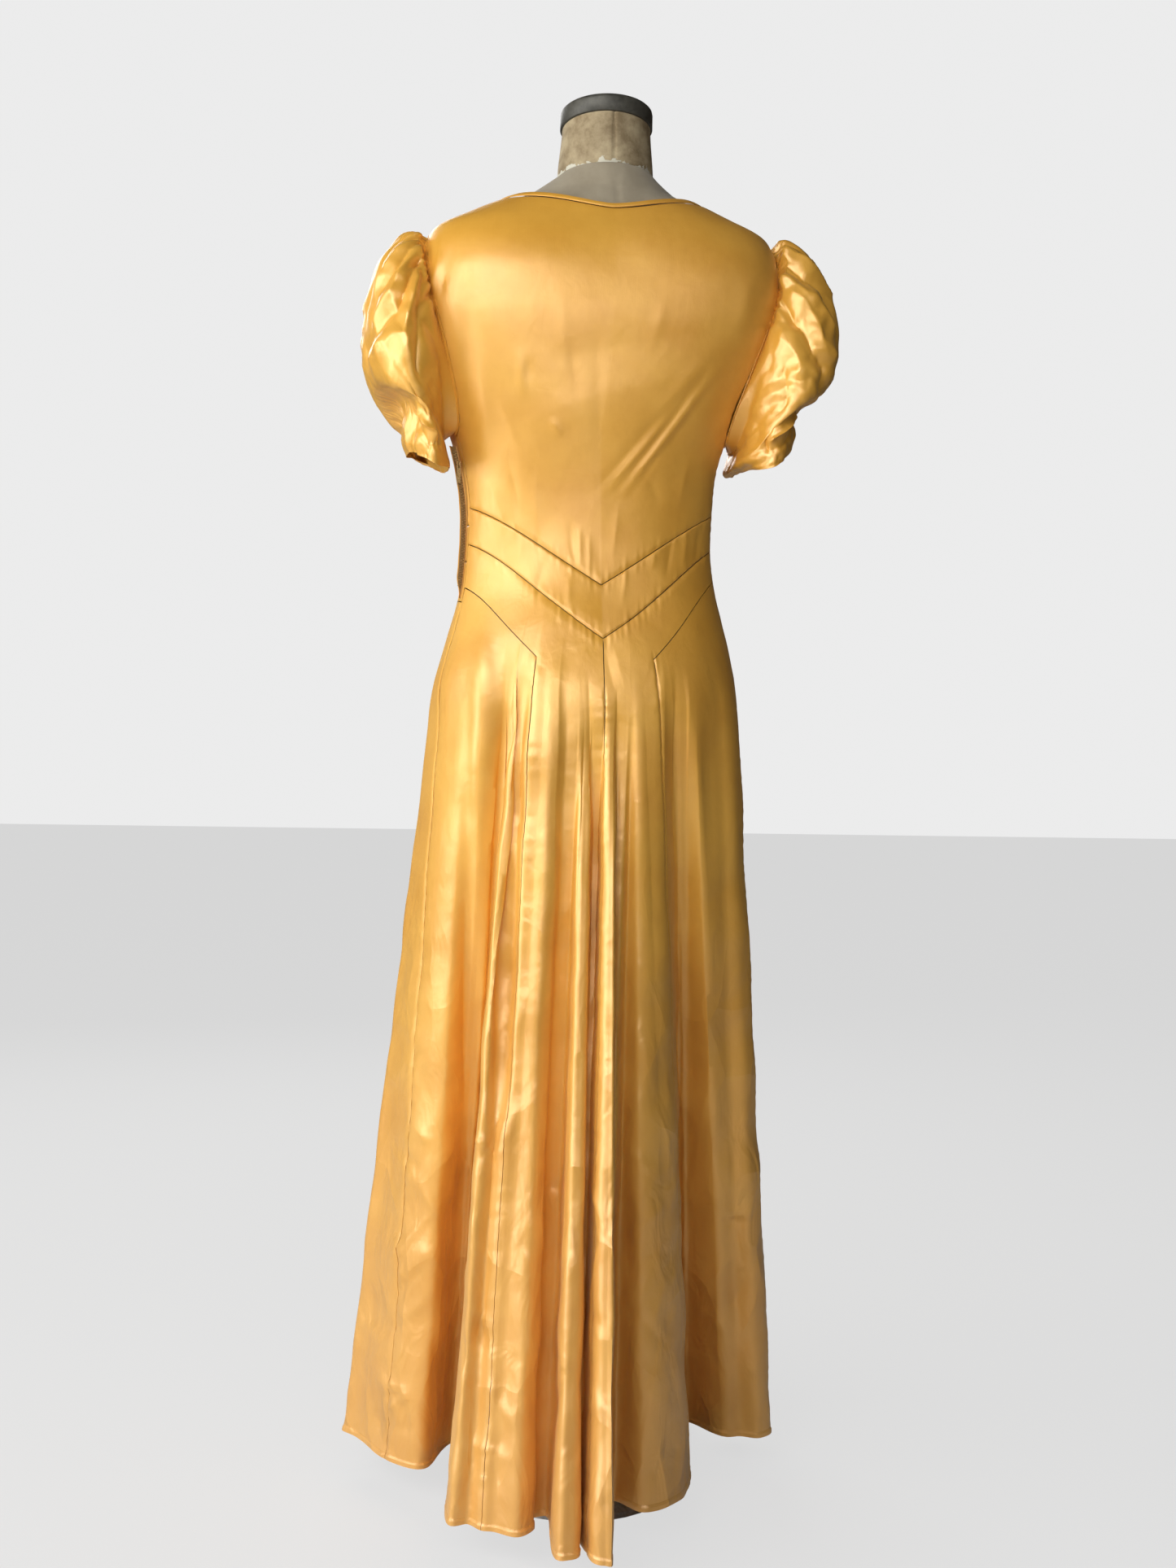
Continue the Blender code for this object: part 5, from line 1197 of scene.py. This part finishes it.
SLEEVE_SEAM_LIFT = 0.0014
HEM_RINGS, UNDERARM_ANGLE = (8.0, 11.0), 88.0
SLEEVE_LAP_ANGLE, SLEEVE_LAP_HEIGHT = 1.1, 0.003
SLEEVE_PHASES = 360
SLEEVE_STEPS = 8
HEAD_ANGLE, TUCK_ANGLE = 82.0, 58.0
PLEATS, PLEAT_SHIFT, PLEAT_LEAN, PLEAT_DRIFT = 44, 0.30, 0.03, 1.6
PLEAT_ROOT, PLEAT_RISE, PLEAT_FADE, PLEAT_BROADENING = 0.35, 0.4, 0.3, 0.45
PLEAT_HEIGHTS, PLEAT_WIDTHS = (0.0022, 0.0046), (0.28, 0.42)
SHORT_PLEATS, LONG_PLEATS = (0.9, 1.8), (2.0, 4.4)
TUCK_RING, TUCK_SPACING, TUCK_WIDTH, TUCK_SHIFT = 8.3, 4.2, 1.5, 0.9
TUCK_HEIGHTS, TUCK_LENGTHS = (0.0014, 0.0026), (0.6, 1.1)
FOLD_ANGLE_UNIT, FOLD_CRISPNESS = 14.0, 1.15
SLEEVE_FACETS = ((5, 0.0022, 0.028), (8, 0.0012, 0.012))
SLEEVE_FREE = (0.6, 2.0)
RING_SPACING, SLEEVE_HEM, SLEEVE_HEM_THICKNESS = 0.026, (0.006, 0.007), 0.0007
FIRST_SLEEVE_SEED, TUCK_SEED = 11, 20
# Each fold is so many millimetres high and so wide, along a path of (ring, angle) places.
SLEEVE_FOLDS = {
    "sleeve_left": (
        (7.0, 0.34, ((1.5, 52), (3.05, 63), (4.05, 65), (5.5, 42), (6.1, 12))),
        (-7.0, 0.42, ((2.0, 64), (3.2, 75), (4.3, 80), (5.4, 62), (6.3, 34))),
        (-6.0, 0.90, ((3.6, 84), (4.7, 84))),
        (4.5, 0.34, ((1.5, 62), (2.4, 76), (3.6, 92), (4.8, 100))),
        (4.0, 0.35, ((0.6, 12), (3.0, 20), (5.0, 16))),
        (-4.5, 0.28, ((0.8, 24), (3.0, 32), (4.2, 30))),
        (4.5, 0.34, ((0.8, 34), (3.2, 45), (5.0, 32))),
        (-4.0, 0.25, ((1.2, 44), (3.8, 53), (5.1, 38))),
        (3.0, 0.60, ((5.9, 76), (6.6, 104))),
        (-2.5, 0.50, ((6.2, 50), (6.9, 72))),
        (3.0, 0.35, ((7.3, 0), (7.4, 60), (7.6, 112))),
        (-9.0, 0.50, ((8.6, 78), (8.8, 112))),
        (4.5, 0.34, ((7.8, 120), (9.2, 128))),
        (4.0, 0.32, ((9.4, 72), (9.9, 95), (9.5, 116))),
        (-4.5, 0.32, ((9.2, 42), (10.9, 34))),
        (4.0, 0.40, ((9.2, 56), (10.8, 52))),
        (2.5, 0.50, ((10.0, 100), (10.8, 84))),
        (5.0, 0.40, ((1.0, -30), (4.2, -48), (5.6, -30))),
        (-5.0, 0.42, ((1.4, -46), (4.2, -64), (5.4, -50))),
        (4.0, 0.40, ((1.2, -62), (3.8, -84))),
        (3.5, 0.35, ((0.8, -10), (3.6, -16), (5.4, -8))),
        (-8.0, 0.50, ((8.6, -70), (8.8, -108))),
        (4.0, 0.34, ((9.3, -60), (9.8, -92))),
    ),
    "sleeve_right": (
        (7.5, 0.32, ((0.7, 45), (2.5, 50), (4.4, 37))),
        (-5.5, 0.36, ((1.2, 58), (2.8, 61), (4.6, 48))),
        (7.0, 0.34, ((0.9, 68), (2.6, 79), (4.5, 78), (5.9, 66))),
        (-4.5, 0.50, ((2.2, 92), (4.4, 92))),
        (-4.5, 0.40, ((2.0, 66), (4.6, 66), (5.6, 54))),
        (4.0, 0.34, ((0.6, 22), (2.6, 22), (4.2, 12))),
        (-4.5, 0.30, ((0.7, 33), (2.6, 36), (4.0, 26))),
        (3.5, 0.40, ((4.4, 40), (6.0, 36))),
        (2.5, 0.40, ((3.4, 104), (5.6, 112))),
        (3.0, 0.35, ((7.3, 0), (7.5, 60), (7.6, 112))),
        (-9.0, 0.48, ((8.7, 60), (8.8, 110))),
        (4.5, 0.34, ((7.9, 118), (9.3, 121))),
        (3.5, 0.32, ((9.5, 60), (9.9, 88), (9.6, 112))),
        (2.5, 0.45, ((10.2, 56), (10.5, 104))),
        (-3.0, 0.28, ((9.6, 30), (10.8, 40))),
        (5.0, 0.40, ((1.0, -34), (4.0, -46), (5.6, -34))),
        (-5.0, 0.42, ((1.4, -52), (4.4, -66))),
        (4.0, 0.40, ((1.2, -66), (3.6, -86), (5.2, -78))),
        (3.5, 0.35, ((0.8, -14), (3.8, -18))),
        (-8.0, 0.50, ((8.6, -66), (8.8, -108))),
        (4.0, 0.34, ((9.3, -56), (9.8, -90))),
    ),
}


def sleeve_rings(side, spread, lift, hem_shift, phases):
    seam = armhole(phases, side)
    angle, z = seam[:, 0], seam[:, 1]
    rings = [cloth_point(angle, z) + body_normal(angle, z) * SLEEVE_SEAM_LIFT]
    tip = cloth_point(side * 90.0, SHOULDER_TIP_HEIGHT)
    for count, row in enumerate(SLEEVE_RINGS, start=1):
        size = dict(zip(SLEEVE_COLUMNS, row))
        near_hem = soft_step(*HEM_RINGS, count)
        leant = np.radians(phases - size["turn"] * np.sin(np.radians(phases)))
        cosine, sine = np.cos(leant), np.sin(leant)
        outer = tip + np.array([side * size["out"] * spread, 0.0, lift - size["drop"]])
        inner = cloth_point(side * UNDERARM_ANGLE, size["inner"]) + np.array([
            side * (size["clear"] + hem_shift[0] * near_hem), 0.0, hem_shift[1] * near_hem])
        depth = np.where(sine > 0, -size["back"], -size["front"]) * sine
        sag = np.where(sine > 0, size["sag"], size["front_sag"]) * sine**2
        rings.append((outer + inner) / 2 + (outer - inner) / 2 * cosine[:, None]
                     + np.outer(depth, (0, 1, 0)) - np.outer(sag, (0, 0, 1)))
    return np.array(rings)


def lapped_edge(side, phases):
    """The sleeve's edge, lapped a little way over the bodice's armhole."""
    angle, z = armhole(phases, side).T
    angle = angle - side * SLEEVE_LAP_ANGLE * np.sin(np.radians(phases))
    z = z + SLEEVE_LAP_HEIGHT * np.cos(np.radians(phases))
    return cloth_point(angle, z) + body_normal(angle, z) * SLEEVE_SEAM_LIFT


def smooth_rings(rings, steps):
    """More rings between the given ones, along a smooth curve through them."""
    padded = np.concatenate([2 * rings[:1] - rings[1:2], rings, 2 * rings[-1:] - rings[-2:-1]])
    return np.array([smooth_curve(*padded[k:k + 4], t) for k in range(len(rings) - 1)
                     for t in np.arange(steps) / steps] + [rings[-1]])


def fold_lift(folds, ring, phase):
    """Height of a sleeve's large folds at a ring and an angle."""
    place = np.stack([ring, phase / FOLD_ANGLE_UNIT], -1)
    total = np.zeros(ring.shape)
    for height, half_width, path in folds:
        path = np.array(path) / (1, FOLD_ANGLE_UNIT)
        nearest = np.full(ring.shape, np.inf)
        for start, end in zip(path, path[1:]):
            along = end - start
            share = np.clip((place - start) @ along / (along @ along), 0, 1)
            distance = np.linalg.norm(place - start - share[..., None] * along, axis=-1)
            nearest = np.minimum(nearest, distance)
        total += height / 1000 * np.exp(-(nearest / half_width) ** FOLD_CRISPNESS)
    return total


def grid_normals(points, outward):
    round_way = np.roll(points, -1, axis=1) - np.roll(points, 1, axis=1)
    return unit(np.cross(round_way, np.gradient(points, axis=0))) * outward


def pleat_lift(ring, phase, seed):
    """Uneven gathers that fan out from the armhole, deep at the seam and dying away."""
    chance = np.random.default_rng(seed)
    spacing = 2 * HEAD_ANGLE / PLEATS
    total = np.zeros(ring.shape)
    for k in range(PLEATS + 1):
        centre = -HEAD_ANGLE + spacing * (k + chance.uniform(-PLEAT_SHIFT, PLEAT_SHIFT))
        height = chance.uniform(*PLEAT_HEIGHTS)
        width = spacing * chance.uniform(*PLEAT_WIDTHS)
        reach = chance.choice([chance.uniform(*SHORT_PLEATS), chance.uniform(*LONG_PLEATS)])
        drift = centre * PLEAT_LEAN + chance.uniform(-PLEAT_DRIFT, PLEAT_DRIFT)
        fade = PLEAT_ROOT + (1 - PLEAT_ROOT) * soft_step(0.0, PLEAT_RISE, ring)
        fade = fade * (1 - soft_step(reach * PLEAT_FADE, reach, ring))
        broad = width * (1 + PLEAT_BROADENING * ring)
        total += height * fade * np.exp(-((phase - centre - drift * ring) / broad) ** 2)
    return total


def tuck_lift(ring, phase, seed):
    """Small even gathers where the tuck draws the puff in."""
    chance = np.random.default_rng(seed)
    total = np.zeros(ring.shape)
    for centre in np.arange(-TUCK_ANGLE, TUCK_ANGLE + 1, TUCK_SPACING):
        place = centre + chance.uniform(-TUCK_SHIFT, TUCK_SHIFT)
        height = chance.uniform(*TUCK_HEIGHTS)
        fade = np.exp(-((ring - TUCK_RING) / chance.uniform(*TUCK_LENGTHS)) ** 2)
        total += height * fade * np.exp(-((phase - place) / TUCK_WIDTH) ** 2)
    return total


sleeve_satin = satin("golden_satin_sleeve", light=(0.81, 0.43, 0.064),
                     deep=(0.71, 0.345, 0.043), crumple=0.18, dullness=0.33)
for seed, (node, sleeve) in enumerate(SLEEVES.items(), FIRST_SLEEVE_SEED):
    phases = np.arange(SLEEVE_PHASES) * 360.0 / SLEEVE_PHASES - 180.0
    middle = smooth_rings(sleeve_rings(phases=phases, **sleeve), SLEEVE_STEPS)
    steps = np.concatenate([[0.0], np.arange(len(middle)) / SLEEVE_STEPS])
    middle = np.concatenate([lapped_edge(sleeve["side"], phases)[None], middle])
    outward = grid_normals(middle, -sleeve["side"])
    ring, phase = np.meshgrid(steps, phases, indexing="ij")
    lift = fold_lift(SLEEVE_FOLDS[node], ring, phase)
    lift = lift + pleat_lift(ring, phase, seed) + tuck_lift(ring, phase, seed + TUCK_SEED)
    crumples = sum(facets(middle, seed + more, height, width)
                   for more, height, width in SLEEVE_FACETS)
    lift = lift + crumples * soft_step(*SLEEVE_FREE, ring)
    to_hem = (len(SLEEVE_RINGS) - ring) * RING_SPACING
    lift = lift + SLEEVE_HEM_THICKNESS * (1 - soft_step(*SLEEVE_HEM, to_hem))
    middle = middle + outward * lift[..., None]
    piece = satin_shell(node + "_satin", middle, grid_normals(middle, -sleeve["side"]),
                        ring=True, trim=0.0)
    dress(piece, sleeve_satin, "gold_satin", node)


# Neck binding. A narrow bias strip of the same satin, folded over the neck edge of the bodice
# and sewn down all round.
BINDING_WIDTH, BINDING_WALL, BINDING_SIDES = 0.006, 0.0019, 10
BINDING_POINTS, BINDING_INSET, BINDING_FLATNESS = 120, 0.0002, 0.96
shares = np.arange(BINDING_POINTS) / BINDING_POINTS
edge = np.concatenate([neckline(shares, False), neckline(shares, True)])
binding_rings = []
for turn in np.arange(BINDING_SIDES) * 2 * np.pi / BINDING_SIDES:
    up = -NECK_EDGE_DROP + BINDING_WIDTH / 2 \
        + (BINDING_WIDTH / 2 - BINDING_INSET) * np.cos(turn)
    out = BINDING_WALL / 2 * (1 + np.sin(turn)) * BINDING_FLATNESS - WALL / 2
    angle, z = edge[:, 0], edge[:, 1] + up
    binding_rings.append(cloth_point(angle, z) + body_normal(angle, z) * out)
across, up = measured(np.array(binding_rings + binding_rings[:1]), True)
index = np.arange(BINDING_SIDES * len(edge)).reshape(BINDING_SIDES, len(edge))
row, column = np.indices(index.shape)
corners = ((0, 0), (0, 1), (1, 1), (1, 0))
faces = np.stack([np.roll(index, (-down, -along), axis=(0, 1)) for down, along in corners], -1)
grain = np.stack([np.stack([across[row + down, column + along], up[row + down, column]], -1)
                  for down, along in corners], 2)
neck_binding = quad_piece("neck_binding_satin", np.array(binding_rings).reshape(-1, 3),
                          faces.reshape(-1, 4), grain, ALL_SMOOTH)
dress(neck_binding, bodice_satin, "gold_satin", "neck_binding")


# Side placket. The front's edge of the side opening stands out past the back, and carries
# the zip on its back face.
PLACKET_TOP, PLACKET_BOTTOM, PLACKET_ROWS = 1.198, 1.022, 70
PLACKET_WIDTH, PLACKET_ANGLE, PLACKET_SHELL = 0.009, -84.5, 0.0012
FOOT_WIDTH, TAPER_SHARE, RIPPLE, RIPPLE_RATE = 0.25, 0.16, 0.0005, 210.0
PLACKET_SHARES = np.linspace(0, 1, 9)
UP = np.array([0.0, 0.0, 1.0])


def placket_line(z):
    """Foot of the placket on the cloth's outer face, its way outward and its way back."""
    outward = body_normal(PLACKET_ANGLE, np.asarray(z, float))
    outward[..., 2] = 0.0
    outward = unit(outward)
    foot = cloth_point(PLACKET_ANGLE, z) + outward * (WALL / 2 + SEAM_GAP)
    back_way = unit(np.cross(outward, UP))
    return foot, outward, back_way * np.sign(-back_way[..., 1:2])


def placket_strip(name, shares, ripple, depth, shell):
    """A strip over part of the placket's width, so deep behind its middle."""
    z = np.linspace(PLACKET_BOTTOM, PLACKET_TOP, PLACKET_ROWS)
    foot, outward, back_way = placket_line(z)
    full = soft_step(0, TAPER_SHARE, np.linspace(0, 1, PLACKET_ROWS))
    width = full * (1 - FOOT_WIDTH) + FOOT_WIDTH
    reach = shares * PLACKET_WIDTH * width[:, None]
    wave = depth + ripple * np.sin(z * RIPPLE_RATE)[:, None] * shares**2
    middle = foot[:, None] + outward[:, None] * reach[..., None] \
        + back_way[:, None] * wave[..., None]
    return satin_shell(name, middle, np.repeat(back_way[:, None], len(shares), axis=1),
                       shell=shell)


placket = placket_strip("side_placket_satin", PLACKET_SHARES, RIPPLE, 0.0, PLACKET_SHELL)
dress(placket, bodice_satin, "gold_satin", "side_placket")


# Zip. Small worn brass teeth on a cotton tape run down the placket; the tape's dark golden brown
# is painted shade, for the shadow in the side opening. The slider stands near the top, with its
# pull tab hanging from the bridge.
TAPE_SHARES = np.linspace(0.10, 0.92, 5)
TAPE_SHELL, TAPE_LIFT = 0.0003, 0.00012
CHAIN_DEPTH, CHAIN_PLACE = 0.0014, 0.48
CHAIN_BOTTOM, CHAIN_TOP = PLACKET_BOTTOM + 0.0135, PLACKET_TOP - 0.0055
TOOTH_PITCH, TOOTH_REACH = 0.0016, 0.0009
TOOTH_SIZE, TOOTH_ROOT = (0.0011, CHAIN_DEPTH * 0.46, TOOTH_PITCH * 0.33), 0.7
# The tape's dark brown is painted shade: it stands for the shadow inside the side opening.
tape_in_painted_shade = patterned("cotton_tape_painted_shade_brown",
                   ("TexWave", {"bands_direction": "DIAGONAL", "Scale": 420.0,
                                "Distortion": 1.0}),
                   (0.0, (0.20, 0.105, 0.030)), (1.0, (0.34, 0.20, 0.075)), (0.4, 0.0003),
                   grain=True, Roughness=0.9)
zip_tape = placket_strip("zip_tape", TAPE_SHARES, 0.0, WALL / 2 + TAPE_LIFT, TAPE_SHELL)
dress(zip_tape, tape_in_painted_shade, "gold_satin")

brass = patterned("worn_brass", ("TexNoise", {"Scale": 900.0, "Detail": 4.0}),
                  (0.35, (0.24, 0.14, 0.050)), (0.65, (0.56, 0.38, 0.165)), Metallic=1.0,
                  Roughness=0.35)
teeth_points, teeth_faces = [], []
CUBE_CORNERS = np.array([(x, y, z) for x in (-1, 1) for y in (-1, 1) for z in (-1, 1)], float)
CUBE_FACES = ((0, 1, 3, 2), (4, 6, 7, 5), (0, 4, 5, 1), (2, 3, 7, 6), (0, 2, 6, 4), (1, 5, 7, 3))
for count, z in enumerate(np.arange(CHAIN_BOTTOM, CHAIN_TOP, TOOTH_PITCH)):
    foot, outward, back_way = placket_line(z)
    centre = foot + outward * PLACKET_WIDTH * CHAIN_PLACE
    centre = centre + back_way * (WALL / 2 + SEAM_GAP + CHAIN_DEPTH / 2)
    side = 1 if count % 2 else -1
    corners = CUBE_CORNERS * TOOTH_SIZE
    corners[:, 2] *= np.where(corners[:, 0] * side > 0, 1.0, TOOTH_ROOT)
    teeth_faces += [tuple(len(teeth_points) + corner for corner in face) for face in CUBE_FACES]
    teeth_points += (centre + outward * side * TOOTH_REACH + corners[:, :1] * outward
                     + corners[:, 1:2] * back_way + corners[:, 2:] * UP).tolist()
teeth_mesh = bpy.data.meshes.new("zip_teeth")
teeth_mesh.from_pydata(teeth_points, [], teeth_faces)
dress(into_scene("zip_teeth", teeth_mesh), brass, "zip_metal", "zip_chain")

for node in ("zip_slider", "zip_pull_tab"):
    for material_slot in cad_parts[node].material_slots:
        material_slot.material = brass
